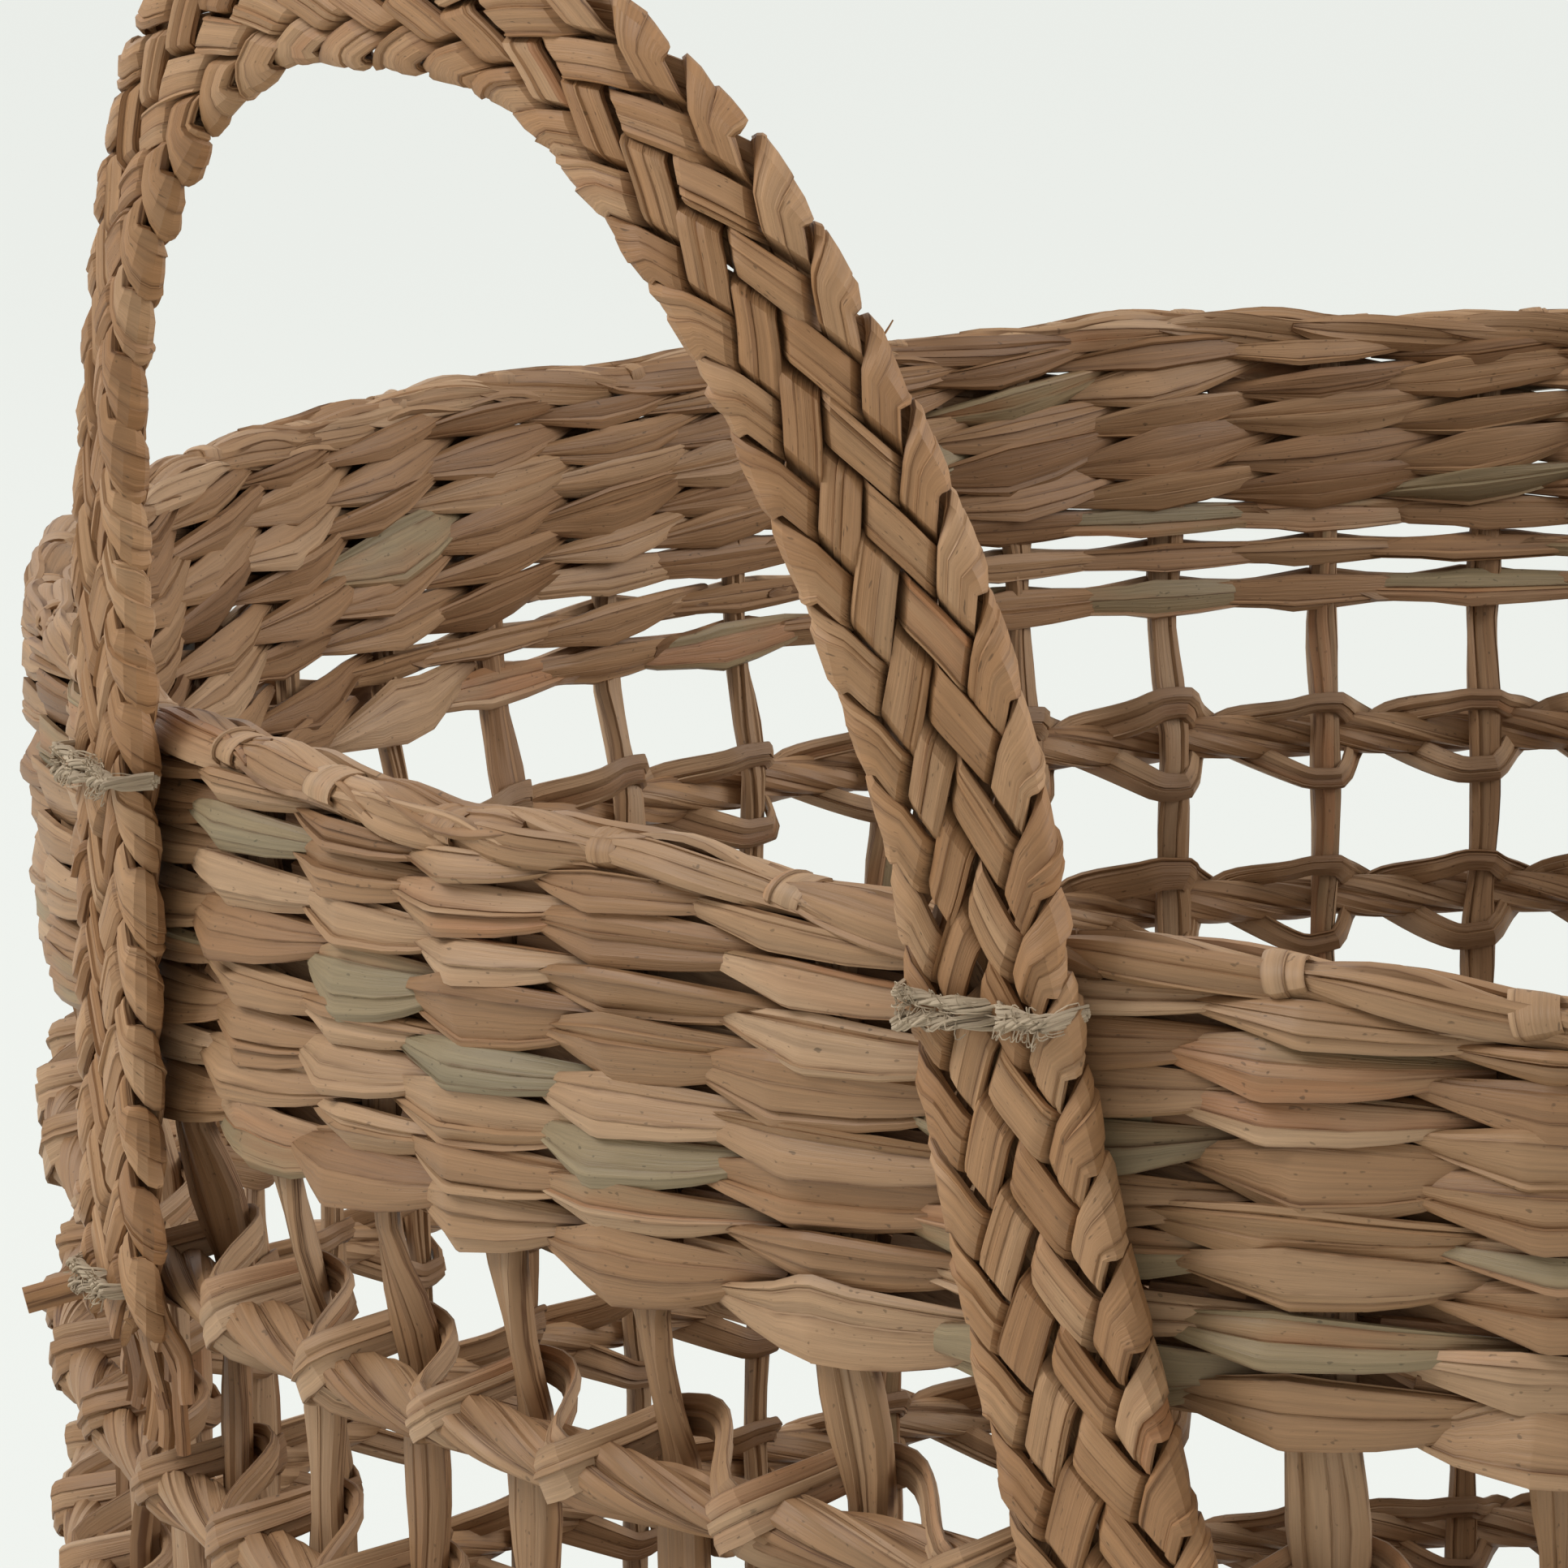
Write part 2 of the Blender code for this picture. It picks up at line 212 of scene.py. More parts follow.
def new_material(name: str) -> tuple[Material, NodeTree, Node]:
    """Make a material.

    Args:
        name: Its name.

    Returns:
        The material, its tree and its Principled shader.
    """
    material = bpy.data.materials.new(name)
    material.use_nodes = True
    return material, material.node_tree, material.node_tree.nodes["Principled BSDF"]


class StripMesh:
    """Closed leaf strips gathered into one mesh."""

    def __init__(self, seed: int) -> None:
        """Start empty.

        Args:
            seed: Number that sets this piece's variation.
        """
        self.rng = np.random.default_rng(SEED * 1000 + seed)
        self.points: list[Array] = []
        self.grain: list[Array] = []
        self.shade: list[Array] = []
        self.faces: list[Array] = []
        self.total = 0

    def add(
        self,
        paths: Array,
        facing: Array,
        half_width: Array,
        cut: LeafCut,
        tone: Array,
        # painted shade where a strip goes under others, mixed into the leaf colour
        tuck_shade: Array | float = 0.0,
        closed: bool = False,
        tone_spread: float = 0.05,
        span: Array | None = None,
    ) -> None:
        """Lay strips along paths.

        Args:
            paths: Centres, as strips by stations by 3.
            facing: Directions that the strips' fronts face, shaped as the paths.
            half_width: Half widths, as strips by stations.
            cut: Cross-section of the strips.
            tone: Leaf tone of each strip, from 0 to 1.
            tuck_shade: Painted shade where a strip goes under others, as strips by stations.
            closed: True for rings.
            tone_spread: How much the leaves of a strip differ in tone.
            span: Vectors from the path to a strip's edge, where the sections are slanted.
        """
        count, stations = paths.shape[:2]
        if closed:
            tangent = np.roll(paths, -1, 1) - np.roll(paths, 1, 1)
        else:
            tangent = np.gradient(paths, axis=1)
        tangent = unit(tangent)
        across = unit(np.cross(facing, tangent))
        out = np.cross(tangent, across)
        if span is not None:
            across, out = span / half_width[..., None], facing
        places, depths, edges, numbers = cut.sections(self.rng, count)
        spread = half_width[:, :, None] * places[:, None, :]
        lift = depths[:, None, :] * (half_width[:, :, None] if cut.face is Face.ROUND else 1.0)
        lift = np.broadcast_to(lift, spread.shape)
        size = places.shape[1]
        points = paths[:, :, None, :] + across[:, :, None, :] * spread[..., None]
        points = points + out[:, :, None, :] * lift[..., None]
        length = np.cumsum(np.linalg.norm(np.diff(paths, axis=1, prepend=paths[:, :1]), axis=2), axis=1)
        jitter = self.rng.uniform(-1, 1, (count, int(numbers.max()) + 1)) * tone_spread
        tones = np.clip(tone[:, None] + np.take_along_axis(jitter, numbers.astype(int), 1), *TONE_LIMITS)
        grain = np.empty((count, stations, size, 3))
        grain[..., 0] = length[:, :, None] + self.rng.uniform(0, GRAIN_OFFSET, (count, 1, 1))
        grain[..., 1] = places[:, None, :] * half_width.max(1)[:, None, None]
        grain[..., 2] = tones[:, None, :]
        # painted shade inputs: place across each leaf for the crease lines, and the shade where the strip
        # goes under others
        shade = np.zeros((count, stations, size, 3))
        shade[..., 0] = edges[:, None, :]
        shade[..., 1] = np.broadcast_to(tuck_shade, (count, stations))[..., None]
        self.points.append(points.reshape(-1, 3))
        self.grain.append(grain.reshape(-1, 3))
        self.shade.append(shade.reshape(-1, 3))
        self._join(count, stations, size, closed)

    def _join(self, count: int, stations: int, size: int, closed: bool) -> None:
        """Make the faces of a batch of strips.

        Args:
            count: Number of strips.
            stations: Sections along each strip.
            size: Points in a section.
            closed: True for rings, which need no end caps.
        """
        starts = self.total + np.arange(count)[:, None, None] * stations * size
        steps = np.arange(stations if closed else stations - 1)[None, :, None]
        ring = np.arange(size)[None, None, :]
        following = (ring + 1) % size
        here = starts + steps * size
        there = starts + ((steps + 1) % stations) * size
        quads = np.stack([here + ring, there + ring, there + following, here + following], -1)
        self.faces.append(quads.reshape(-1, 4))
        if not closed:
            first = (starts + ring)[:, 0, :]
            last = (starts + (stations - 1) * size + ring[:, :, ::-1])[:, 0, :]
            self.faces.append(np.concatenate([first, last]))
        self.total += count * stations * size

    def build(self, name: str, material: Material, nodes: list[str], slot: str) -> None:
        """Make the object, dress it and put it in its nodes' place.

        Args:
            name: Object name.
            material: Its finish.
            nodes: CAD nodes that it stands for.
            slot: Not used.
        """
        mesh = bpy.data.meshes.new(name)
        points = np.concatenate(self.points)
        sizes = np.concatenate([np.full(len(part), part.shape[1]) for part in self.faces])
        corners = np.concatenate([part.reshape(-1) for part in self.faces])
        mesh.vertices.add(len(points))
        mesh.vertices.foreach_set("co", points.reshape(-1).astype(np.float32))
        mesh.loops.add(len(corners))
        mesh.loops.foreach_set("vertex_index", corners.astype(np.int32))
        mesh.polygons.add(len(sizes))
        mesh.polygons.foreach_set("loop_start", (np.cumsum(sizes) - sizes).astype(np.int32))
        mesh.update(calc_edges=True)
        for label, parts in ((GRAIN_ATTRIBUTE, self.grain), (SHADE_ATTRIBUTE, self.shade)):
            values = mesh.attributes.new(label, "FLOAT_VECTOR", "POINT")
            values.data.foreach_set("vector", np.concatenate(parts).reshape(-1).astype(np.float32))
        mesh.shade_smooth()
        mesh.set_sharp_from_angle(angle=SHARP_ANGLE)
        mesh.materials.append(material)
        item = bpy.data.objects.new(name, mesh)
        bpy.context.scene.collection.objects.link(item)
        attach(item, BODY)
        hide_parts(*nodes)
        LOG.info("%s: %d faces", name, len(sizes))


@dataclass
class BasketForm:
    """Sizes of the CAD model that the woven pieces follow."""

    height: float = 0.420
    rim_radius: float = 0.2485
    band_flare: float = 0.0030
    waist_draw: float = 0.0044
    body_taper: float = 0.0145
    band_height: float = 0.0495
    stake_count: int = 60
    stake_width: float = 0.0074
    stake_thickness: float = 0.0030
    stake_phase: float = math.radians(4.0)
    stake_drift: float = math.radians(3.8)
    stake_drift_phase: float = math.radians(54.2)
    stake_shift: float = math.radians(-1.9)
    stake_shift_azimuth: float = math.radians(184)
    stake_shift_reach: float = math.radians(13)
    ring_count: int = 6
    first_ring_drop: float = 0.0695
    ring_pitch: float = 0.0270
    ring_to_weave: float = 0.0172
    rope_diameter: float = 0.0068
    base_thickness: float = 0.0070
    weave_cover: float = 0.0025
    fit_gap: float = 0.3 * MM
    rim_waves: tuple = ((0.8 * MM, 9, math.radians(187)), (0.7 * MM, 22, math.radians(71.5)))
    rim_sink: float = 1.0 * MM

    def ring_level(self, number: int) -> float:
        """Height of a rope ring, counted from 0 at the top."""
        return self.height - self.first_ring_drop - self.ring_pitch * number

    def wall_radius(self, level: Array | float) -> Array:
        """Radius of the stakes' centres at heights.

        Args:
            level: Heights.

        Returns:
            Radii.
        """
        waist = self.ring_level(0) + self.rope_diameter / 2
        foot_radius = self.rim_radius - self.band_flare
        waist_radius = foot_radius - self.waist_draw
        levels = (0.0, waist, self.height - self.band_height, self.height)
        radii = (waist_radius - self.body_taper, waist_radius, foot_radius, self.rim_radius)
        return np.interp(level, levels, radii)

    def stake_azimuth(self, index: Array | float) -> Array:
        """Azimuths of stakes or of places between them.

        Args:
            index: Stake numbers, which may be fractions.

        Returns:
            Azimuths.
        """
        even = math.tau * np.asarray(index, float) / self.stake_count + self.stake_phase
        offset = (even % math.tau - self.stake_shift_azimuth) / self.stake_shift_reach
        drift = self.stake_drift * np.sin(even - self.stake_drift_phase)
        return even + drift + self.stake_shift * np.exp(-(offset**2))

    def rim_wave(self, index: Array) -> Array:
        """How far the rim stands above or below its mean height.

        Args:
            index: Places round the basket in stakes.

        Returns:
            Heights.
        """
        azimuth = self.stake_azimuth(index)
        waves = (size * np.cos(count * (azimuth - start)) for size, count, start in self.rim_waves)
        return sum(waves) - self.rim_sink

    def on_wall(self, index: Array, level: Array, out: Array | float) -> tuple[Array, Array]:
        """Points at stake numbers and heights, at a distance outside the stakes' centres.

        Args:
            index: Stake numbers, which may be fractions.
            level: Heights.
            out: Distances outward.

        Returns:
            Points and outward directions.
        """
        direction = outward(self.stake_azimuth(index))
        points = direction * (self.wall_radius(level) + out)[..., None]
        points[..., 2] = level
        return points, direction


GOLDEN_TONES = (
    (0.00, (0.185, 0.084, 0.031)),
    (0.22, (0.270, 0.135, 0.056)),
    (0.45, (0.338, 0.181, 0.081)),
    (0.66, (0.415, 0.250, 0.132)),
    (0.76, (0.325, 0.148, 0.060)),
    (0.84, (0.275, 0.190, 0.098)),
    (1.00, (0.240, 0.180, 0.100)),
)


@dataclass(frozen=True)
class LeafFinish:
    """Dry leaf: tones from pale straw to brown, with streaks and specks, and painted shade in the creases
    between leaves and where strips go under others.
    """

    name: str
    tones: tuple = (
        (0.00, (0.190, 0.096, 0.041)),
        (0.22, (0.268, 0.146, 0.068)),
        (0.45, (0.315, 0.184, 0.092)),
        (0.66, (0.404, 0.262, 0.152)),
        (0.76, (0.310, 0.152, 0.068)),
        (0.84, (0.262, 0.192, 0.104)),
        (1.00, (0.224, 0.178, 0.104)),
    )
    # painted shade: the dark colour that leaves are mixed towards in creases and where strips go under others
    painted_shade_colour: tuple = (0.092, 0.034, 0.008)
    streak_strength: float = 0.5
    roughness: float = 0.54
    roughness_reach: tuple = (-0.1, 0.15)
    specular: float = 0.42
    bump: float = 0.6
    bump_depth: float = 0.4 * MM

    def make(self) -> Material:
        """Build the material, or return it if it is there.

        Returns:
            A Principled material fed by the leaf grain group.
        """
        if self.name in bpy.data.materials:
            return bpy.data.materials[self.name]
        material, tree, shader = new_material(self.name)
        grain = add_node(tree, "ShaderNodeGroup", node_tree=leaf_grain_group())
        grain.inputs["Streaks"].default_value = self.streak_strength
        height = grain.outputs["Height"]
        ramp = add_node(tree, "ShaderNodeValToRGB", {"Fac": grain.outputs["Tone"]})
        for element, (position, colour) in zip(ramp.color_ramp.elements, (self.tones[0], self.tones[-1])):
            element.position = position
            element.color = (*colour, 1)
        for position, colour in self.tones[1:-1]:
            ramp.color_ramp.elements.new(position).color = (*colour, 1)
        streaked = {"Factor": 1.0, "A": ramp.outputs["Color"], "B": grain.outputs["Streak Colour"]}
        weather = add_node(tree, "ShaderNodeMix", streaked, data_type="RGBA", blend_type="MULTIPLY")
        # painted shade: the leaf colour is mixed towards the dark shade colour by the group's Shade output
        painted_shade_mix = {"Factor": grain.outputs["Shade"], "A": weather.outputs["Result"], "B": (*self.painted_shade_colour, 1)}
        sink = add_node(tree, "ShaderNodeMix", painted_shade_mix, data_type="RGBA")
        relief = {"Strength": self.bump, "Distance": self.bump_depth, "Height": height}
        bump = add_node(tree, "ShaderNodeBump", relief)
        low, high = (self.roughness + reach for reach in self.roughness_reach)
        rough = add_node(tree, "ShaderNodeMapRange", {"Value": height, "To Min": low, "To Max": high})
        tree.links.new(sink.outputs["Result"], shader.inputs["Base Color"])
        tree.links.new(bump.outputs["Normal"], shader.inputs["Normal"])
        tree.links.new(rough.outputs["Result"], shader.inputs["Roughness"])
        shader.inputs["Specular IOR Level"].default_value = self.specular
        return material


def leaf_grain_group() -> NodeTree:
    """Node group of dry leaf: tone, lengthwise streaks, specks, painted shade and height.

    Returns:
        The group, made on the first call.
    """
    name = "dry_leaf_grain"
    if name in bpy.data.node_groups:
        return bpy.data.node_groups[name]
    group = bpy.data.node_groups.new(name, "ShaderNodeTree")
    streaks = group.interface.new_socket("Streaks", in_out="INPUT", socket_type="NodeSocketFloat")
    streaks.default_value = 0.5
    outputs = {"Tone": "Float", "Streak Colour": "Color", "Shade": "Float", "Height": "Float"}
    for label, kind in outputs.items():
        group.interface.new_socket(label, in_out="OUTPUT", socket_type="NodeSocket" + kind)
    link = group.links.new
    enter = add_node(group, "NodeGroupInput")
    leave = add_node(group, "NodeGroupOutput")
    grain = add_node(group, "ShaderNodeAttribute", attribute_name=GRAIN_ATTRIBUTE).outputs["Vector"]
    shade = add_node(group, "ShaderNodeAttribute", attribute_name=SHADE_ATTRIBUTE).outputs["Vector"]
    leaf = add_node(group, "ShaderNodeSeparateXYZ", {"Vector": grain})
    sides = add_node(group, "ShaderNodeSeparateXYZ", {"Vector": shade})

    def noise(scale: tuple[float, float, float], detail: float, roughness: float = 0.5) -> Socket:
        """Noise stretched along the leaf.

        Args:
            scale: Scales along the leaf, across it and by tone.
            detail: Noise detail.
            roughness: Noise roughness.

        Returns:
            The noise's value.
        """
        stretch = add_node(group, "ShaderNodeVectorMath", {0: grain, 1: scale}, operation="MULTIPLY")
        inputs = {"Vector": stretch.outputs[0], "Scale": 1.0, "Detail": detail, "Roughness": roughness}
        return add_node(group, "ShaderNodeTexNoise", inputs).outputs["Fac"]

    def combine(kind: str, first: object, second: object) -> Socket:
        """Result of a math operation on two values or sockets."""
        return add_node(group, "ShaderNodeMath", {0: first, 1: second}, operation=kind).outputs[0]

    def remap(value: Socket, *ends: float) -> Socket:
        """Value mapped from the range of the first two ends to that of the last two."""
        inputs = dict(zip(("From Min", "From Max", "To Min", "To Max"), ends), Value=value)
        return add_node(group, "ShaderNodeMapRange", inputs).outputs["Result"]

    fine = noise((70, 2600, 60), 3, 0.6)
    broad = noise((22, 650, 40), 2)
    patch = noise((45, 160, 25), 2)
    fleck = noise((900, 1500, 90), 1)
    tone_shift = combine("MULTIPLY", combine("SUBTRACT", patch, 0.5), 0.24)
    link(combine("ADD", leaf.outputs["Z"], tone_shift), leave.inputs["Tone"])
    mixed = combine("ADD", combine("MULTIPLY", fine, 0.55), combine("MULTIPLY", broad, 0.45))
    swing = combine("MULTIPLY", combine("SUBTRACT", mixed, 0.5), 2.4)
    level = combine("ADD", combine("MULTIPLY", swing, enter.outputs["Streaks"]), 1.0)
    level = combine("SUBTRACT", level, remap(fleck, 0.70, 0.76, 0.0, 0.45))
    blue = combine("SUBTRACT", combine("MULTIPLY", level, 1.04), 0.04)
    tint = add_node(group, "ShaderNodeCombineColor", {"Red": level, "Green": level, "Blue": blue})
    link(tint.outputs["Color"], leave.inputs["Streak Colour"])
    # painted shade: thin dark lines at each leaf's edges, where the creases between leaves fall, broken up by
    # noise
    edge = combine("POWER", combine("ABSOLUTE", sides.outputs["X"], 0.0), 7.0)
    edge = combine("MULTIPLY", edge, remap(noise((130, 420, 60), 2), 0.42, 0.62, 0.06, 0.9))
    # painted shade: the darker of the crease lines and the shade where a strip goes under others
    dark = combine("MAXIMUM", edge, sides.outputs["Y"])
    link(combine("MINIMUM", dark, 0.9), leave.inputs["Shade"])
    link(mixed, leave.inputs["Height"])
    return group


@dataclass
class Stakes:
    """Upright leaf bundles, each pair folded under at the base's edge."""

    form: BasketForm
    finish: LeafFinish
    cut: LeafCut = LeafCut(4, 1.8 * MM, relief=0.42 * MM, crown=0.15 * MM, swell=0.3 * MM, face=Face.BOTH)
    seed: int = 100
    step: float = 4.0 * MM
    foot_gap: float = 0.5 * MM
    head_drop: float = 6.0 * MM
    wobble: float = 0.6 * MM
    narrowest: float = 0.66
    slimness: float = 0.20
    slim_azimuth: float = math.radians(65)
    # painted shade: the stakes are darkened all along, as they lie mostly under the weave
    tones: tuple = (0.2, 0.62)
    tuck_shade: float = 0.10
    fold_half: float = 1.6 * MM

    def build(self) -> None:
        """Build one object for each folded pair."""
        form = self.form
        foot = form.base_thickness + self.foot_gap
        head = form.height - self.head_drop
        stations = int((head - foot) / self.step)
        way = np.linspace(0, 1, stations)
        levels = foot + (head - foot) * way
        material = self.finish.make()
        for pair in range(form.stake_count // 2):
            strips = StripMesh(self.seed + pair)
            rng = strips.rng
            index = np.repeat(np.array([[2.0 * pair], [2.0 * pair + 1]]), stations, 1)
            index = index + wander(rng, 2, way, waves=6, size=0.02)
            height = np.tile(levels, (2, 1))
            points, out = form.on_wall(index, height, wander(rng, 2, way, waves=5, size=self.wobble))
            spare = 1 - self.slimness * np.cos(form.stake_azimuth(index) - self.slim_azimuth)
            width = form.stake_width / 2 * rng.uniform(self.narrowest, 1.0, (2, 1))
            width = width * (1 + wander(rng, 2, way, waves=12, size=0.20)) * spare
            out = out + sideways(out) * wander(rng, 2, way, waves=9, size=0.5)[..., None]
            tone = rng.uniform(*self.tones, 2) + (rng.random(2) > 0.85) * 0.12
            strips.add(points, out, width, self.cut, tone, self.tuck_shade, tone_spread=0.12)
            self._fold(strips, pair, foot)
            node = "stake_pair_%02d" % (pair + 1)
            strips.build("leaf_" + node, material, [node], "stake_leaf")

    def _fold(self, strips: StripMesh, pair: int, foot: float) -> None:
        """Add the fold that joins the two stakes of a pair under the wall.

        Args:
            strips: The pair's mesh.
            pair: Number of the pair, from 0.
            foot: Height of the stakes' lower ends.
        """
        index = 2.0 * pair + np.linspace(-0.12, 1.12, 12)[None, :]
        level = np.full_like(index, foot + self.fold_half)
        points, out = self.form.on_wall(index, level, 0.0)
        width = np.full(index.shape, self.fold_half)
        # painted shade on the fold that runs under the wall
        strips.add(points, out, width, self.cut, strips.rng.uniform(0.2, 0.5, 1), 0.2)


@dataclass
class TwinedWall:
    """Rows of two leaf strands that twist round the stakes, with a stitch over each stake."""

    form: BasketForm
    finish: LeafFinish
    node: str
    slot: str
    seed: int
    foot: float
    head: float
    rows: int
    cut: LeafCut = LeafCut(thickness=1.0 * MM, relief=0.40 * MM, crown=0.10 * MM, swell=0.32 * MM)
    inner_cut: LeafCut = LeafCut(thickness=1.0 * MM, relief=0.28 * MM, crown=0.12 * MM, swell=0.3 * MM)
    reach: float = 0.84
    fullness: float = 1.34
    inner_fullness: float = 1.42
    # painted shade: inside stitches get darker tones, as less light reaches inside
    inner_shade: float = 0.14
    jitter: float = 0.10
    reach_spread: tuple = (0.82, 1.12)
    edge_spread: tuple = (0.78, 1.16)
    strand_tones: tuple = (0.22, 0.62)
    stitch_tones: tuple = (0.02, 0.70)
    red_share: float = 0.05
    red_tones: tuple = (0.72, 0.78)
    green_share: float = 0.07
    green_tones: tuple = (0.79, 0.91)
    inner_slant: float = 0.5
    stitch_lift: float = 3.7 * MM
    tuck_depth: float = -0.9 * MM
    row_shares: tuple = (1.0,)
    loose_rows: int = 0
    loose_half: float = 0.62
    merging: float = 0.55
    loose_azimuth: float = math.radians(48)
    places: tuple = (-1.0, -0.88, -0.74, -0.58, -0.38, -0.19, -0.15, 0.06, 0.26, 0.46, 0.64, 0.82, 1.0)
    rises: tuple = ((-1.0, -0.62, -0.17, 0.35, 0.75, 1.0), (0.0, 0.52, 1.0, 0.72, 0.25, 0.0))
    upper_edge: tuple = ((-1.0, -0.6, -0.16, 0.35, 1.0), (-0.14, 0.26, 0.78, 0.78, 0.70))
    lower_edge: tuple = ((-1.0, -0.6, -0.16, 0.35, 1.0), (-0.36, -0.70, -1.10, -0.74, 0.26))

    def row_levels(self) -> tuple[Array, Array]:
        """Where the rows lie, from the top down.

        Returns:
            Middle heights and pitches.
        """
        shares = np.resize(np.array(self.row_shares), self.rows)
        pitches = shares / shares.sum() * (self.head - self.foot)
        return self.head - np.cumsum(pitches) + pitches / 2, pitches

    def lay(self, strips: StripMesh, side: int) -> None:
        """Lay all stitches of one face.

        Args:
            strips: The wall's mesh.
            side: 1 for the outside, -1 for the inside.
        """
        form, rng = self.form, strips.rng
        way = np.array(self.places if side > 0 else self.places[::2])
        levels, pitches = self.row_levels()
        stake = np.tile(np.arange(form.stake_count), self.rows)
        row = np.repeat(np.arange(self.rows), form.stake_count)
        count = len(stake)
        half = pitches[row][:, None] / 2
        reach = self.reach * rng.uniform(*self.reach_spread, (count, 1))
        index = stake[:, None] + rng.uniform(-self.jitter, self.jitter, (count, 1)) + side * way * reach
        high = np.interp(way, *self.upper_edge) * rng.uniform(*self.edge_spread, (count, 1))
        low = np.interp(way, *self.lower_edge) * rng.uniform(*self.edge_spread, (count, 1))
        loose = self._looseness(row, stake)[:, None]
        high, low = high + (self.loose_half - high) * loose, low + (-self.loose_half - low) * loose
        tip = np.minimum(1, (1.04 - np.abs(way)) / 0.16)[None, :] * loose + 1 - loose
        full = self.fullness if side > 0 else self.inner_fullness
        merge = 1 + self.merging * loose * np.exp(-((way / 0.30) ** 2))
        width = half * (full + (1 - full) * loose) * (high - low) / 2 * tip * merge
        slant = self.inner_slant * (side < 0) * (1 - loose)
        level = levels[row][:, None] + half * ((high + low) / 2 + slant * way)
        uneven = rng.uniform(-self.jitter, self.jitter, (count, 1)) * half * 2 * (1 - loose)
        level = level + uneven + self._sway(row, index)
        bottom, top = self.foot + width * 0.8, self.head - width * 0.8
        level = np.clip(level, bottom, np.maximum(top, bottom))
        level = level + form.rim_wave(index) * self._rise_share(row)
        rise = (self.stitch_lift - self.tuck_depth) * np.interp(way, *self.rises)
        lift = self.tuck_depth + rise * (1 - 0.4 * loose)
        lift = lift + rng.uniform(-0.35, 0.35, (count, 1)) * MM
        lift = lift + wander(rng, count, way, waves=0.6, size=0.25 * MM)
        points, out = form.on_wall(index, level, side * lift)
        lean = rng.uniform(-0.40, 0.40, (count, 1, 1)) * UP
        # painted shade at the stitch ends, where they go under the neighbouring stitches
        tuck_shade = 0.80 * (1 - smooth((way + 1.02) / 0.30)) + 0.7 * smooth((way - 0.60) / 0.40)
        tone = self._tones(rng, row, stake, side)
        cut = self.cut if side > 0 else self.inner_cut
        strips.add(points, side * out + lean, width, cut, tone, np.tile(tuck_shade, (count, 1)), tone_spread=0.10)

    def _tones(self, rng: Random, row: Array, stake: Array, side: int) -> Array:
        """Tones of the stitches, alike along a strand, with a few reddish and greenish ones, and darker on
        the inside face as painted shade.

        Args:
            rng: Source of the scatter.
            row: Row of each stitch.
            stake: Stake of each stitch.
            side: 1 for the outside, -1 for the inside.

        Returns:
            A tone for each stitch.
        """
        count = len(row)
        strand = row * 2 + stake % 2
        drift = np.sin(stake * 0.21 + strand * 2.7) * 0.11
        base = np.random.default_rng(self.seed).uniform(*self.strand_tones, self.rows * 2)[strand]
        tone = np.clip(base + drift + rng.normal(0, 0.09, count), *self.stitch_tones)
        odd = rng.random(count)
        tone = np.where(odd > 1 - self.red_share, rng.uniform(*self.red_tones, count), tone)
        tone = np.where(odd < self.green_share, rng.uniform(*self.green_tones, count), tone)
        # painted shade: inside stitches darker, except the reddish and greenish ones
        return tone if side > 0 else tone - self.inner_shade * (tone < self.stitch_tones[1])

    def _sway(self, row: Array, index: Array) -> Array:
        """Slow rise and fall of the rows round the basket."""
        return 0.5 * MM * np.sin(index * 0.31 + row[:, None] * 0.8) * np.minimum(row[:, None], 1)

    def _rise_share(self, row: Array) -> Array:
        """How much each row follows the rim's rise and fall."""
        return np.clip(1 - row[:, None] / 5, 0, 1) * (self.loose_rows > 0)

    def _looseness(self, row: Array, stake: Array) -> Array:
        """How far rows are drawn out into thin strands, with slits between them.

        Args:
            row: Row of each stitch.
            stake: Stake of each stitch.

        Returns:
            Shares from 0 to 1.
        """
        turn = np.cos(self.form.stake_azimuth(stake) - self.loose_azimuth)
        near_foot = np.clip(row - (self.rows - 1 - self.loose_rows), 0, 1)
        patch = 0.25 * np.sin(stake * 1.9 + row * 2.3)
        return near_foot * smooth((turn - 0.25 + patch) / 0.40) * (self.loose_rows > 0)

    def build(self) -> None:
        """Build both faces of the wall as one object."""
        strips = StripMesh(self.seed)
        self.lay(strips, 1)
        self.lay(strips, -1)
        strips.build("leaf_" + self.node, self.finish.make(), [self.node], self.slot)


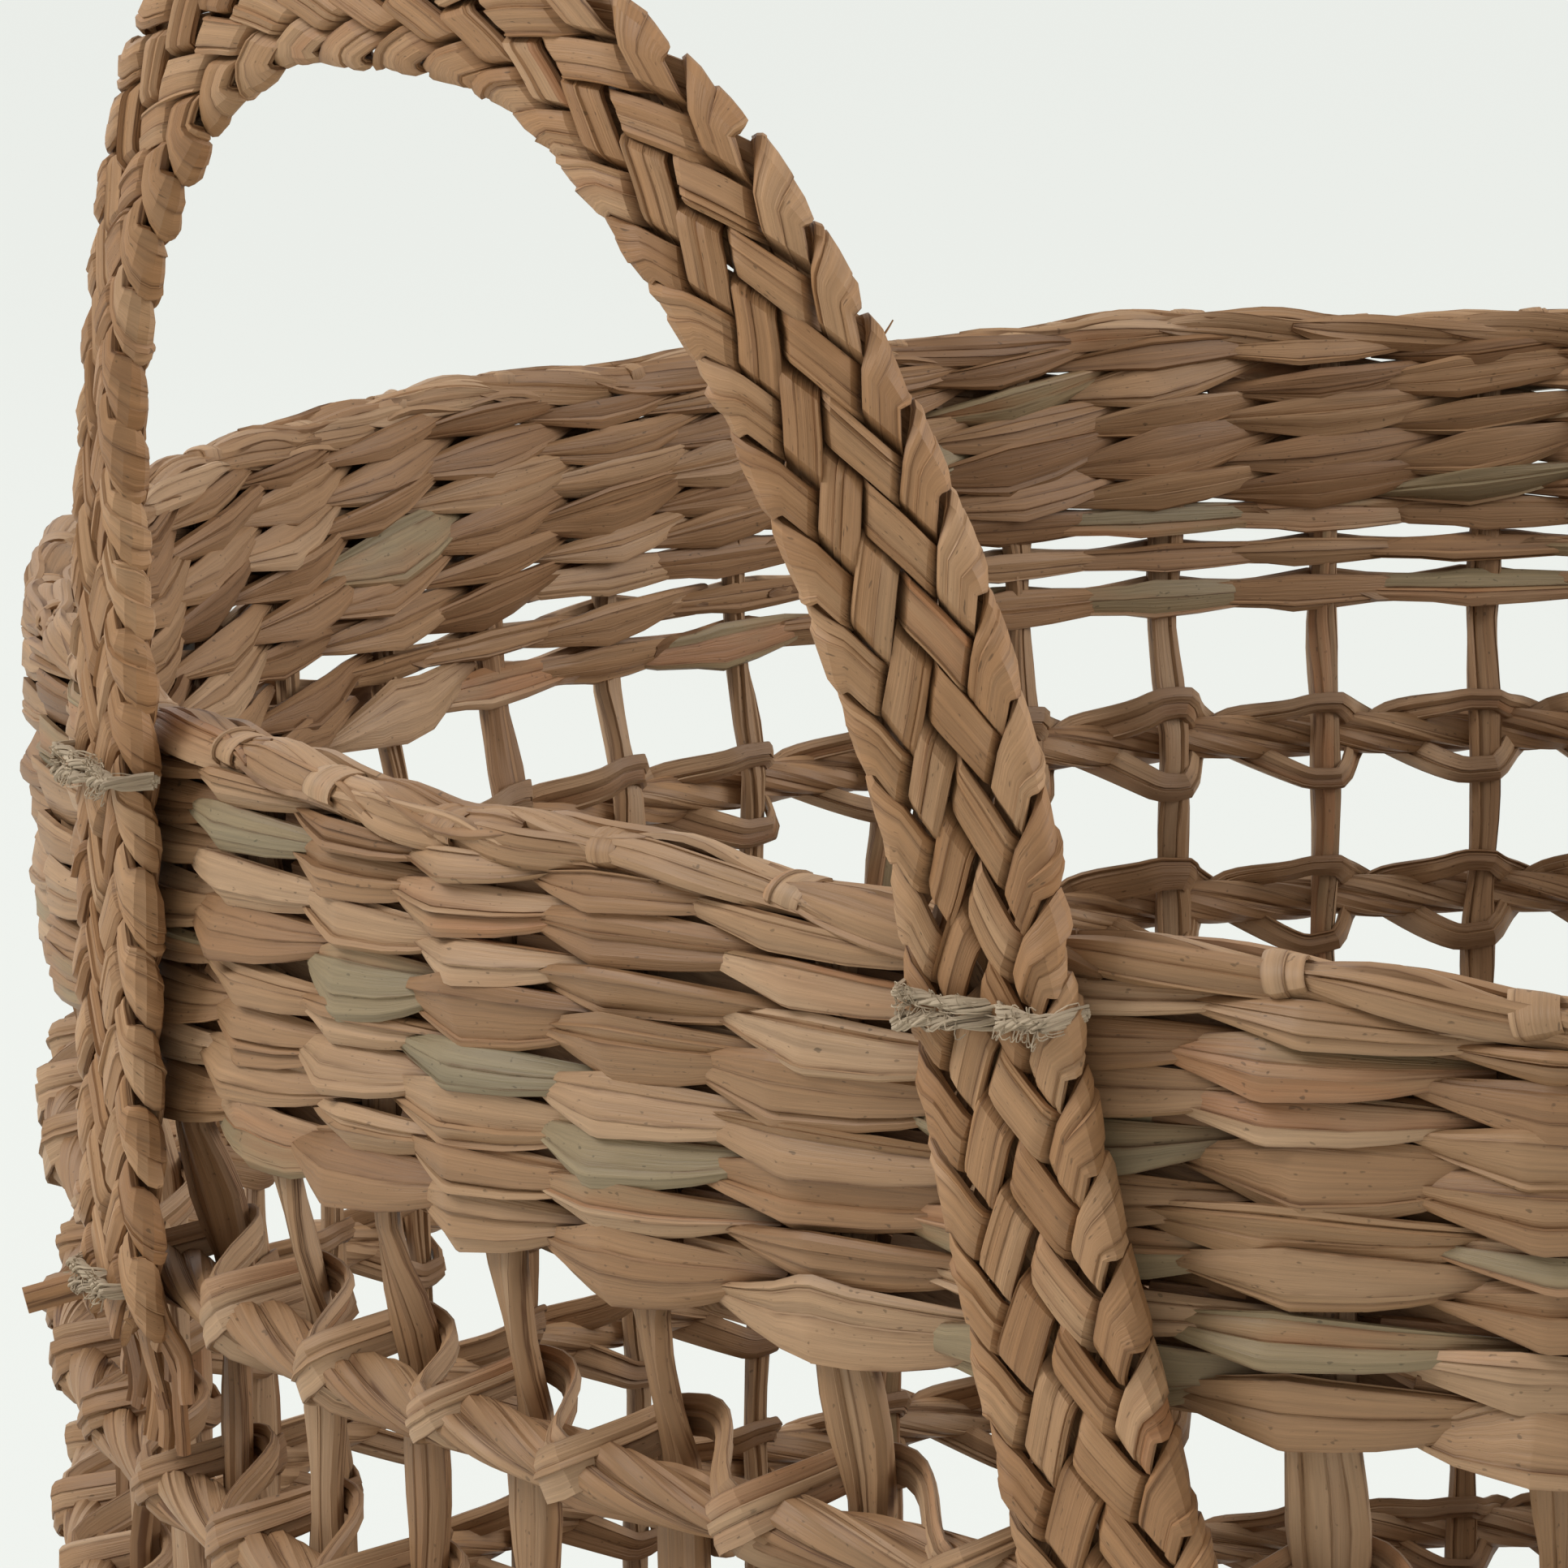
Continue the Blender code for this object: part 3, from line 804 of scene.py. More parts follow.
@dataclass
class RolledRim:
    """Leaf bundle along the top edge, lashed down at each stake by the stake's folded end."""

    form: BasketForm
    finish: LeafFinish
    roll_height: float = 3.2 * MM
    roll_depth: float = 4.8 * MM
    wrap_width: float = 5.2 * MM
    strips_per_space: int = 4
    strip_reach: float = 0.70
    seed: int = 40
    strip_half: float = 2.5 * MM
    drop: float = 0.8 * MM
    core_stations: int = 480
    wrap_start: float = math.radians(-34)
    wrap_turn: float = math.radians(172)
    cut: LeafCut = LeafCut(thickness=0.9 * MM, relief=0.26 * MM, crown=0.10 * MM, swell=0.3 * MM)
    wrap_cut: LeafCut = LeafCut(leaves=2, thickness=0.6 * MM, relief=0.14 * MM, crown=0.05 * MM)

    def round_roll(self, index: Array, angle: Array, grow: Array) -> tuple[Array, Array]:
        """Points on the roll's surface.

        Args:
            index: Places round the basket in stakes.
            angle: Angles round the roll, 0 outside and a quarter turn on top.
            grow: Distances above the surface.

        Returns:
            Points and directions off the surface.
        """
        middle = self.form.height - self.roll_height / 2 - self.drop + self.form.rim_wave(index)
        out = (self.roll_depth / 2 + grow) * np.cos(angle)
        up = (self.roll_height / 2 + grow) * np.sin(angle)
        centre, direction = self.form.on_wall(index, np.full_like(index, self.form.height), 0.0)
        points = centre + direction * out[..., None]
        points[..., 2] = middle + up
        facing = direction * np.cos(angle)[..., None]
        facing[..., 2] = np.sin(angle)
        return points, facing

    def build(self) -> None:
        """Build the roll and its wraps."""
        form = self.form
        strips = StripMesh(self.seed)
        rng = strips.rng
        count = form.stake_count * self.strips_per_space
        way = np.linspace(-1, 1, 13)
        stake = np.repeat(np.arange(form.stake_count), self.strips_per_space)
        turn = np.tile(np.arange(self.strips_per_space), form.stake_count)
        turn = turn * math.tau / self.strips_per_space
        index = stake[:, None] + 0.5 + rng.uniform(-0.2, 0.2, (count, 1)) + way * self.strip_reach
        angle = turn[:, None] + rng.uniform(-0.4, 0.4, (count, 1)) - 0.45 * way
        pinch = np.cos((index + 0.2) * math.tau) * -0.60 * MM
        points, facing = self.round_roll(index, angle, pinch + rng.uniform(-0.5, 0.4, (count, 1)) * MM)
        width = self.strip_half * rng.uniform(0.75, 1.25, (count, 1)) * (1 - 0.75 * np.abs(way) ** 3)
        tone = np.clip(rng.normal(0.42, 0.14, count), *LEAF_TONES)
        # painted shade at the strip ends, where they go under the others
        tuck_shade = np.tile(0.5 * smooth((np.abs(way) - 0.8) / 0.2), (count, 1))
        strips.add(points, facing, width, self.cut, tone, tuck_shade)
        self._core(strips)
        self._wraps(strips)
        strips.build("leaf_rim_roll", self.finish.make(), ["rim_roll"], "rim_leaf")

    def _core(self, strips: StripMesh) -> None:
        """Add the bundle's inner leaves.

        Args:
            strips: The rim's mesh.
        """
        index = np.linspace(0, self.form.stake_count, self.core_stations, endpoint=False)[None, :]
        centre, facing = self.round_roll(index, np.full_like(index, math.pi / 2), np.zeros_like(index))
        centre[..., 2] -= self.roll_height / 2
        width = np.full(index.shape, self.roll_height / 2 - 0.5 * MM)
        # painted shade: the inner leaves are half darkened, as they lie inside the roll
        strips.add(centre, facing, width, LeafCut(face=Face.ROUND), np.array([0.2]), 0.5, closed=True)

    def _wraps(self, strips: StripMesh) -> None:
        """Add the folded stake ends over the roll.

        Args:
            strips: The rim's mesh.
        """
        rng = strips.rng
        count = self.form.stake_count
        way = np.linspace(0, 1, 15)
        angle = np.tile(self.wrap_start + way * self.wrap_turn, (count, 1))
        lean = rng.uniform(-0.10, 0.16, (count, 1))
        index = np.arange(count)[:, None] + rng.uniform(-0.28, -0.12, (count, 1)) + lean * (way - 0.4)
        grow = np.full_like(angle, 0.45 * MM) + rng.uniform(0, 0.3, (count, 1)) * MM
        ends = smooth(way / 0.12) * smooth((1 - way) / 0.12)
        grow = grow - 1.4 * MM * (1 - ends)
        points, facing = self.round_roll(index, angle, grow)
        points[..., 2] -= 0.8 * MM * (1 - ends)
        width = self.wrap_width / 2 * rng.uniform(0.8, 1.15, (count, 1)) * np.ones_like(way)
        tone = np.clip(rng.normal(0.52, 0.08, count), 0.1, 0.7)
        # painted shade at the wrap ends, where they go under the roll
        strips.add(points, facing, width, self.wrap_cut, tone, 0.5 * (1 - ends)[None, :])


@dataclass
class RopeRings:
    """Twisted ropes round the stakes, with the crossed lashings that hold them."""

    form: BasketForm
    finish: LeafFinish
    plies: int = 3
    lay_length: float = 66.0 * MM
    ply_offset: float = 1.80 * MM
    ply_width: float = 2.2 * MM
    ply_cut: LeafCut = LeafCut(3, 1.4 * MM, relief=0.22 * MM, crown=0.12 * MM, swell=0.9 * MM, face=Face.BOTH)
    lash_cut: LeafCut = LeafCut(
        3, 0.6 * MM, relief=0.28 * MM, crown=0.08 * MM, swell=0.35 * MM, face=Face.BOTH
    )
    lash_rise: float = 6.2 * MM
    lash_width: float = 2.8 * MM
    lash_bias: float = 1.36
    lash_flatness: float = 0.9
    behind: float = -2.2 * MM
    lash_steps: int = 18
    lash_tilt: float = 0.45
    lash_lift: float = 0.5 * MM
    over_lift: float = 1.0 * MM
    press: float = 0.2 * MM
    seed: int = 60
    stations_per_space: int = 18
    tone_spread: float = 0.14

    def build(self) -> None:
        """Build each ring with its lashings as one object."""
        material = self.finish.make()
        for number in range(self.form.ring_count):
            strips = StripMesh(self.seed + number)
            self._rope(strips, self.form.ring_level(number))
            self._lashings(strips, self.form.ring_level(number))
            node = "ring_rope_%d" % (number + 1)
            strips.build("leaf_" + node, material, [node], "rope_leaf")

    def rope_out(self) -> float:
        """Distance of the ropes' centres outside the stakes' centres."""
        return self.form.stake_thickness / 2 + self.form.fit_gap + self.form.rope_diameter / 2

    def _rope(self, strips: StripMesh, level: float) -> None:
        """Add the rope's plies.

        Args:
            strips: The ring's mesh.
            level: The ring's height.
        """
        form, rng = self.form, strips.rng
        stations = form.stake_count * self.stations_per_space
        index = np.linspace(0, form.stake_count, stations, endpoint=False)[None, :]
        girth = math.tau * (float(form.wall_radius(level)) + self.rope_out())
        turns = round(girth / self.lay_length)
        for ply in range(self.plies):
            angle = -index / form.stake_count * math.tau * turns + ply * math.tau / self.plies
            bend = self.ply_offset * (1 + 0.06 * np.sin(index * 1.3 + ply))
            height = level + bend * np.sin(angle)
            reach = self.rope_out() + bend * np.cos(angle)
            points, out = form.on_wall(index, height, reach)
            facing = out * np.cos(angle)[..., None]
            facing[..., 2] = np.sin(angle)
            width = self.ply_width * (1 + 0.1 * np.sin(index * 2.1 + ply * 2))
            tone = rng.uniform(0.3, 0.55, 1)
            # painted shade: a slight even darkening of the plies
            strips.add(points, facing, width, self.ply_cut, tone, 0.05, True, self.tone_spread)

    def _lashings(self, strips: StripMesh, level: float) -> None:
        """Add the two strands that zigzag behind stakes and over the rope.

        Args:
            strips: The ring's mesh.
            level: The ring's height.
        """
        form, rng = self.form, strips.rng
        way = np.linspace(0, 1, self.lash_steps, endpoint=False)
        index = (np.arange(form.stake_count)[:, None] + way).reshape(1, -1)
        place = (index % 1.0) ** self.lash_bias
        share = np.abs(place - 0.5) * 2
        front = form.stake_thickness / 2 + form.rope_diameter - self.press
        cross = smooth((0.86 - share) / 0.72)
        # painted shade where the lashings go behind the stakes
        tuck_shade = 0.55 * smooth((share - 0.62) / 0.3)
        for strand in range(2):
            sign = np.where((np.floor(index) + strand) % 2 == 0, 1.0, -1.0)
            over = np.where(sign < 0, self.over_lift, 0.0)
            zig = sign * (1 - 2 * place)
            height = level + self.lash_lift + self.lash_rise * np.clip(zig * 1.15, -1, 1)
            out = self.behind + (front - self.behind + over) * cross
            drift = wander(rng, 1, index[0] / form.stake_count, waves=45, size=0.9 * MM)
            points, outside = form.on_wall(index, height + drift, out)
            flow = np.roll(points, -2, 1) - np.roll(points, 2, 1)
            facing = unit(unit(np.cross(flow, UP)) + outside * self.lash_flatness)
            facing = unit(facing + UP * (self.lash_tilt * zig * cross)[..., None])
            swell = 1 + 0.20 * np.sin(index * 1.7 + strand) + 0.10 * np.sin(index * 4.1)
            width = self.lash_width * swell * (1 - 0.24 * share)
            tone = rng.uniform(0.30, 0.62, 1)
            strips.add(points, facing, width, self.lash_cut, tone, tuck_shade, True, self.tone_spread)


@dataclass
class BraidedHandle:
    """Flat braid of seven strands, sewn to the wall by two legs, with an arch between them."""

    form: BasketForm
    finish: LeafFinish
    twine: "TwineFinish"
    name: str
    turn: float
    seed: int
    strands: int = 7
    half_range: float = 7.5 * MM
    layer: float = 1.70 * MM
    period: float = 65.0 * MM
    over_ends: tuple = (1.43, 3.57, 5.43)
    joint: float = 2.5
    fill: float = 1.03
    step: float = 0.75 * MM
    cut: LeafCut = LeafCut(3, 1.3 * MM, relief=0.26 * MM, crown=0.05 * MM, swell=0.16 * MM, face=Face.BOTH)
    half_angle: float = math.radians(16.1)
    rise: float = 0.0860
    tail: float = 0.0038
    lean: float = 0.0190
    lean_power: float = 1.25
    rise_power: float = 1.366
    reach_power: float = 0.784
    shoulder_twists: tuple = (math.radians(38), math.radians(18))
    twist_powers: tuple = (1.0, 3.0)
    splays: tuple = (math.radians(4.2), math.radians(1.4))
    foot_growth: float = 0.24
    splay_power: float = 1.25
    thickness: float = 6.5 * MM
    width: float = 17.5 * MM
    smoothings: int = 6
    fold_zone: float = 0.5
    tail_leaves: int = 13
    tail_reach: tuple = (10, 23)
    tail_cut: LeafCut = LeafCut(2, 0.8 * MM, relief=0.2 * MM, crown=0.3 * MM, face=Face.BOTH)
    stub_cut: LeafCut = LeafCut(2, 1.0 * MM, relief=0.1 * MM, crown=0.2 * MM, swell=1.0 * MM, face=Face.BOTH)
    hair_cut: LeafCut = LeafCut(face=Face.ROUND, sides=4)
    fibre_cut: LeafCut = LeafCut(face=Face.ROUND, sides=5)
    hairs: tuple = (
        (-1, 0.30, 8.5 * MM, -3.0 * MM),
        (-1, 0.62, 4.0 * MM, -7.0 * MM),
        (-1, 0.95, 3.5 * MM, 2.0 * MM),
        (-1, 1.20, 2.5 * MM, 4.0 * MM),
        (1, 0.80, 2.5 * MM, 3.0 * MM),
    )
    tie_drop: float = 0.0085
    tie_power: float = 0.72
    lower_tie_share: float = 0.68
    fibres: int = 9
    fuzz: int = 110

    def leg_radius(self, drop: Array) -> Array:
        """Radius of a leg's centre.

        Args:
            drop: Depths below the rim.

        Returns:
            Radii.
        """
        form = self.form
        rim_rest = form.rim_radius + form.stake_thickness / 2 + form.weave_cover
        rope_rest = float(form.wall_radius(form.ring_level(0))) + form.stake_thickness / 2
        rope_rest = rope_rest + form.fit_gap + form.rope_diameter
        rest = rim_rest + (rope_rest - rim_rest) * drop / form.first_ring_drop
        return rest + form.fit_gap + self.thickness / 2

    def leg(self, side: int, drop: Array) -> tuple[Array, Array]:
        """Centres and facings of a leg, with the handle at +X.

        Args:
            side: -1 or 1 for the leg.
            drop: Depths below the rim.

        Returns:
            Points and outward directions.
        """
        length = self.form.first_ring_drop + self.tail
        splay = self.splays[0] if side > 0 else self.splays[1]
        azimuth = side * (self.half_angle + splay * (np.clip(drop, 0, None) / length) ** self.splay_power)
        out = outward(azimuth)
        points = out * self.leg_radius(drop)[..., None]
        points[..., 2] = self.form.height - drop
        return points, out

    def arch(self, side: int, angle: Array) -> tuple[Array, Array]:
        """Centres and facings of half the arch, from a leg up to the top.

        Args:
            side: -1 or 1 for the leg.
            angle: 0 at the leg to a quarter turn at the top.

        Returns:
            Points and facings.
        """
        climb = np.sin(angle) ** self.rise_power
        reach = np.cos(angle) ** self.reach_power
        start = float(self.leg_radius(np.array(0.0)))
        lean = self.lean * climb**self.lean_power
        aside = side * start * math.sin(self.half_angle) * reach
        height = self.form.height + self.rise * climb
        points = np.stack([start * math.cos(self.half_angle) + lean, aside, height], -1)
        tilt = np.arctan2(self.lean * climb, self.rise)
        leg = 0 if side > 0 else 1
        twist = self.shoulder_twists[leg] * np.sin(2 * angle) ** self.twist_powers[leg]
        turn = side * (self.half_angle * np.cos(angle) + twist)
        facing = np.stack([np.cos(turn) * np.cos(tilt), np.sin(turn) * np.cos(tilt), -np.sin(tilt)], -1)
        return points, facing

    def route(self) -> tuple[Array, Array]:
        """Whole handle from one foot to the other, evenly stepped.

        Returns:
            Points and facings.
        """
        length = self.form.first_ring_drop + self.tail
        drops = np.linspace(length, 0, 40, endpoint=False)
        angles = np.linspace(0, math.pi / 2, 90, endpoint=False)
        halves = []
        for side in (-1, 1):
            leg, arch = self.leg(side, drops), self.arch(side, angles)
            halves.append([np.concatenate([leg[part], arch[part]]) for part in range(2)])
        top = self.arch(1, np.array([math.pi / 2 - 1e-6]))
        points = np.concatenate([halves[0][0], top[0], halves[1][0][::-1]])
        facing = np.concatenate([halves[0][1], top[1], halves[1][1][::-1]])
        for _ in range(self.smoothings):
            points[1:-1] = points[1:-1] / 2 + (points[:-2] + points[2:]) / 4
            facing[1:-1] = facing[1:-1] / 2 + (facing[:-2] + facing[2:]) / 4
        length_way = np.cumsum(np.linalg.norm(np.diff(points, axis=0, prepend=points[:1]), axis=1))
        even = np.linspace(0, length_way[-1], int(length_way[-1] / self.step))
        points = np.stack([np.interp(even, length_way, points[:, axis]) for axis in range(3)], 1)
        facing = np.stack([np.interp(even, length_way, facing[:, axis]) for axis in range(3)], 1)
        return points, unit(facing)

    def over(self, place: Array) -> Array:
        """Layer of a strand on its way between the edges.

        Args:
            place: Places, counted in strands from one edge.

        Returns:
            1 on top to -1 below.
        """
        layer = np.ones_like(place)
        for end in self.over_ends:
            layer = layer * -np.tanh((place - end) / 0.15)
        return layer

    def turned(self, points: Array) -> Array:
        """Points or directions swung to this handle's side."""
        cosine, sine = math.cos(self.turn), math.sin(self.turn)
        return points @ np.array([[cosine, sine, 0], [-sine, cosine, 0], [0, 0, 1]])

    def lay(
        self, strips: StripMesh, path: Array, facing: Array, width: Array, *looks: object, **more: object
    ) -> None:
        """Swing one strip to this handle's side and add it, its further arguments as in StripMesh.add."""
        strips.add(self.turned(path)[None], self.turned(facing)[None], width[None], *looks, **more)

    def build(self) -> None:
        """Build the braid with its loose ends, then the twine that sews it on."""
        strips = StripMesh(self.seed)
        points, facing = self.route()
        tangent = unit(np.gradient(points, axis=0))
        across = unit(np.cross(tangent, facing))
        frames = (points, tangent, across, np.cross(across, tangent))
        for strand in range(self.strands):
            self._strand(strips, frames, strand)
        self._loose_ends(strips)
        self._hairs(strips)
        strips.build("leaf_" + self.name, self.finish.make(), [self.name], "braid_leaf")
        self._ties()

    def _strand(self, strips: StripMesh, frames: tuple[Array, Array, Array, Array], strand: int) -> None:
        """Add one strand, which folds over the braid's edges and is joined where it is hidden.

        Args:
            strips: The handle's mesh.
            frames: Points, tangents, crosswise and outward directions along the handle.
            strand: Number of the strand.
        """
        points, tangent, across, out = frames
        rng = strips.rng
        way = np.linspace(0, 1, len(points))
        below = (self.form.height + 10 * MM - points[:, 2]) / self.form.first_ring_drop
        grow = 1 + self.foot_growth * smooth(below)
        phase = way * len(points) * self.step / self.period + strand / self.strands
        phase = phase + wander(rng, 1, way, waves=9, size=0.010)[0]
        place = (phase % 0.5) * 2 * self.strands
        heading = np.where(phase % 1.0 < 0.5, 1.0, -1.0)
        to_edge = np.minimum(place, self.strands - place)
        edge = heading * np.where(place < self.strands / 2, -1.0, 1.0)
        half_turn = np.where(place < self.strands / 2, 1, -1) * math.pi / 2
        fold = np.clip(to_edge / self.fold_zone, 0, 1) * half_turn
        folding = to_edge < self.fold_zone
        half_range = self.half_range * grow
        inner = half_range * (1 - 1 / self.strands)
        crossing = heading * half_range * (2 * place / self.strands - 1)
        side = np.where(folding, edge * (inner + self.layer * np.cos(fold)), crossing)
        depth = self.layer * np.where(folding, np.sin(fold), self.over(place))
        side = side + wander(rng, 1, way, waves=14, size=0.35 * MM)[0]
        depth = depth + wander(rng, 1, way, waves=16, size=0.22 * MM)[0]
        face = np.where(folding, -edge * np.sin(fold), heading)[:, None] * out
        face = face - np.where(folding, np.cos(fold), 0.0)[:, None] * across
        slant = smooth(to_edge / 0.7)
        fill = self.fill * (1 + wander(rng, 1, way, waves=15, size=0.10)[0])
        along = fill * self.period / self.strands / 4 * (2 - slant)
        aside = -heading * fill * half_range / self.strands * slant
        span = tangent * along[:, None] + across * aside[:, None]
        path = points + across * side[:, None] + out * depth[:, None]
        # painted shade where the strand dips under its neighbours, away from the braid's edges
        shade = 0.45 * smooth((0.75 - np.abs(self.over(place))) / 0.75) * (to_edge > 0.8)
        cuts = np.flatnonzero(np.diff(np.floor((phase * 2 * self.strands - self.joint) / self.strands)))
        starts = np.concatenate([[0], cuts])
        ends = np.concatenate([cuts + 2, [len(way)]])
        base = rng.uniform(0.42, 0.58)
        for first, last in zip(starts, ends):
            if last - first < 4:
                continue
            tone = np.array([base + rng.uniform(-0.14, 0.10) + (rng.random() > 0.93) * 0.14])
            part = slice(first, last)
            width = np.linalg.norm(span[part], axis=1)
            looks = {"tuck_shade": shade[part][None], "tone_spread": 0.09, "span": self.turned(span[part])[None]}
            self.lay(strips, path[part], face[part], width, self.cut, tone, **looks)

    def _loose_ends(self, strips: StripMesh) -> None:
        """Add the strand ends that fan out below each leg.

        Args:
            strips: The handle's mesh.
        """
        rng = strips.rng
        foot = self.form.first_ring_drop - 2 * MM
        count = self.tail_leaves
        way = np.linspace(0, 1, 12)
        for side in (-1, 1):
            reach = rng.uniform(*self.tail_reach, (count, 1)) * MM
            drop = foot + reach * way
            start = np.linspace(-0.8, 0.8, count)[:, None] * self.width / 2
            spread = start * (1 + 0.7 * way) + rng.uniform(-4, 4, (count, 1)) * MM * way**1.6
            base, out = self.leg(side, drop)
            along = sideways(out)
            sink = -self.thickness * 0.1 - 3.4 * MM * smooth((way - 0.1) / 0.6)
            sink = sink + wander(rng, count, way, waves=1, size=0.8 * MM)
            path = base + along * spread[..., None] + out * sink[..., None]
            width = rng.uniform(1.5, 2.8, (count, 1)) * MM * (1 - 0.45 * way)
            face = out + along * rng.uniform(-0.5, 0.5, (count, 1, 1))
            tone = np.clip(rng.normal(0.32, 0.20, count), 0.03, 0.78)
            # painted shade: a slight even darkening of the loose ends
            strips.add(self.turned(path), self.turned(face), width, self.tail_cut, tone, 0.1)
        self._stub(strips)

    def _stub(self, strips: StripMesh) -> None:
        """Add the rolled leaf end that sticks out from the foot of one leg.

        Args:
            strips: The handle's mesh.
        """
        way = np.linspace(0, 1, 7)
        base, out = self.leg(-1, np.full_like(way, self.form.first_ring_drop - 1 * MM))
        aside = self.width * 0.30 + 3 * way[:, None] * MM
        path = base + out * (-4 + 13 * way)[:, None] * MM - sideways(out) * aside
        path[:, 2] -= (1.5 + 3.5 * way) * MM
        width = 2.0 * MM * (1 - 0.12 * way)
        self.lay(strips, path, np.tile(UP, (len(way), 1)), width, self.stub_cut, np.array([0.4]))

    def _hairs(self, strips: StripMesh) -> None:
        """Add the few loose fibres that stand off the braid's edges.

        Args:
            strips: The handle's mesh.
        """
        rng = strips.rng
        way = np.linspace(0, 1, 9)
        for side, angle, reach, rise in self.hairs:
            base, facing = self.arch(side, np.full_like(way, angle))
            aside = np.cross(facing, UP) * -side
            path = base + unit(aside) * (self.width * 0.42 + reach * way)[:, None]
            path[:, 2] += rise * way**1.6
            width = 0.20 * MM * (1 - 0.6 * way)
            self.lay(strips, path, facing, width, self.hair_cut, rng.uniform(0.2, 0.5, 1))

    def _ties(self) -> None:
        """Add the twine stitches at the rim and at the first rope ring."""
        material = self.twine.make()
        levels = (("upper", self.tie_drop, 1.0), ("lower", self.form.first_ring_drop, self.lower_tie_share))
        for high, (level_name, drop, share) in enumerate(levels):
            for side, leg_name in ((-1, "right"), (1, "left")):
                name = "%s_tie_%s_%s" % (self.name, level_name, leg_name)
                strips = StripMesh(self.seed + 10 + high * 2 + side)
                self._tie(strips, side, drop, share)
                strips.build("twine_" + name, material, [name], "twine")

    def _tie(self, strips: StripMesh, side: int, drop: float, share: float) -> None:
        """Add one stitch of doubled twine with its fuzz.

        Args:
            strips: The stitch's mesh.
            side: -1 or 1 for the leg.
            drop: Depth below the rim.
            share: Size of the stitch, from 0 to 1.
        """
        rng = strips.rng
        way = np.linspace(-1, 1, 56)
        middle, out = self.leg(side, np.array([drop]))
        along = sideways(out)
        reach = (self.width / 2 + 1.2 * MM) * share
        across = reach * np.sign(way) * np.abs(way) ** self.tie_power
        top = self.thickness / 2 + 0.9 * MM
        depth = top - (top + self.thickness / 2 - 2.2 * MM) * smooth((np.abs(way) - 0.80) / 0.20)
        depth = depth - 2.4 * MM * np.exp(-(((way - 0.08) / 0.08) ** 2))
        for lane in (-1, 1):
            fibres = round(self.fibres * share**1.5)
            for fibre in range(fibres):
                angle = way * 7 + fibre * math.tau / fibres + lane
                ride = rng.uniform(0.15, 0.75) * MM
                ride = ride * (1 + wander(rng, 1, (way + 1) / 2, waves=5, size=0.3)[0])
                path = middle + along * across[:, None] + out * (depth + ride * np.cos(angle))[:, None]
                path[:, 2] += lane * 0.75 * MM + ride * np.sin(angle) - 0.9 * MM * way * lane + 0.5 * MM * way
                width = np.full(len(way), rng.uniform(0.16, 0.34) * MM)
                facing = np.broadcast_to(out, path.shape)
                self.lay(strips, path, facing, width, self.fibre_cut, rng.uniform(0.3, 0.9, 1))
        count = round(self.fuzz * share**2)
        hair_way = np.linspace(0, 1, 6)
        start = rng.uniform(-0.82, 0.82, (count, 1))
        stretch = rng.uniform(-0.22, 0.22, (count, 1))
        place = np.clip(start + stretch * hair_way, -0.95, 0.95)
        lift = rng.uniform(0.2, 1.5, (count, 1)) * MM * np.sin(hair_way * 2.6)
        drift = rng.uniform(-2.4, 2.4, (count, 1)) * MM * np.sin(hair_way * 2.2)
        spot = np.interp(place, way, depth)
        across = reach * np.sign(place) * np.abs(place) ** self.tie_power
        path = middle + along * across[..., None] + out * (spot + lift)[..., None]
        path[..., 2] += drift
        width = np.full(place.shape, 0.07 * MM)
        facing = self.turned(np.broadcast_to(out, path.shape))
        strips.add(self.turned(path), facing, width, self.hair_cut, rng.uniform(0.4, 1, count))


@dataclass(frozen=True)
class TwineFinish:
    """Pale, dull plant twine."""

    name: str = "twine_finish"
    dark: tuple = (0.23, 0.175, 0.12)
    light: tuple = (0.49, 0.395, 0.28)
    roughness: float = 0.9
    bump: float = 0.8
    bump_depth: float = 0.3 * MM

    def make(self) -> Material:
        """Build the material, or return it if it is there.

        Returns:
            A Principled material with fibre streaks.
        """
        if self.name in bpy.data.materials:
            return bpy.data.materials[self.name]
        material, tree, shader = new_material(self.name)
        grain = add_node(tree, "ShaderNodeGroup", node_tree=leaf_grain_group())
        tones = {"Factor": grain.outputs["Tone"], "A": (*self.dark, 1), "B": (*self.light, 1)}
        colour = add_node(tree, "ShaderNodeMix", tones, data_type="RGBA")
        relief = {"Strength": self.bump, "Distance": self.bump_depth, "Height": grain.outputs["Height"]}
        bump = add_node(tree, "ShaderNodeBump", relief)
        tree.links.new(colour.outputs["Result"], shader.inputs["Base Color"])
        tree.links.new(bump.outputs["Normal"], shader.inputs["Normal"])
        shader.inputs["Roughness"].default_value = self.roughness
        return material


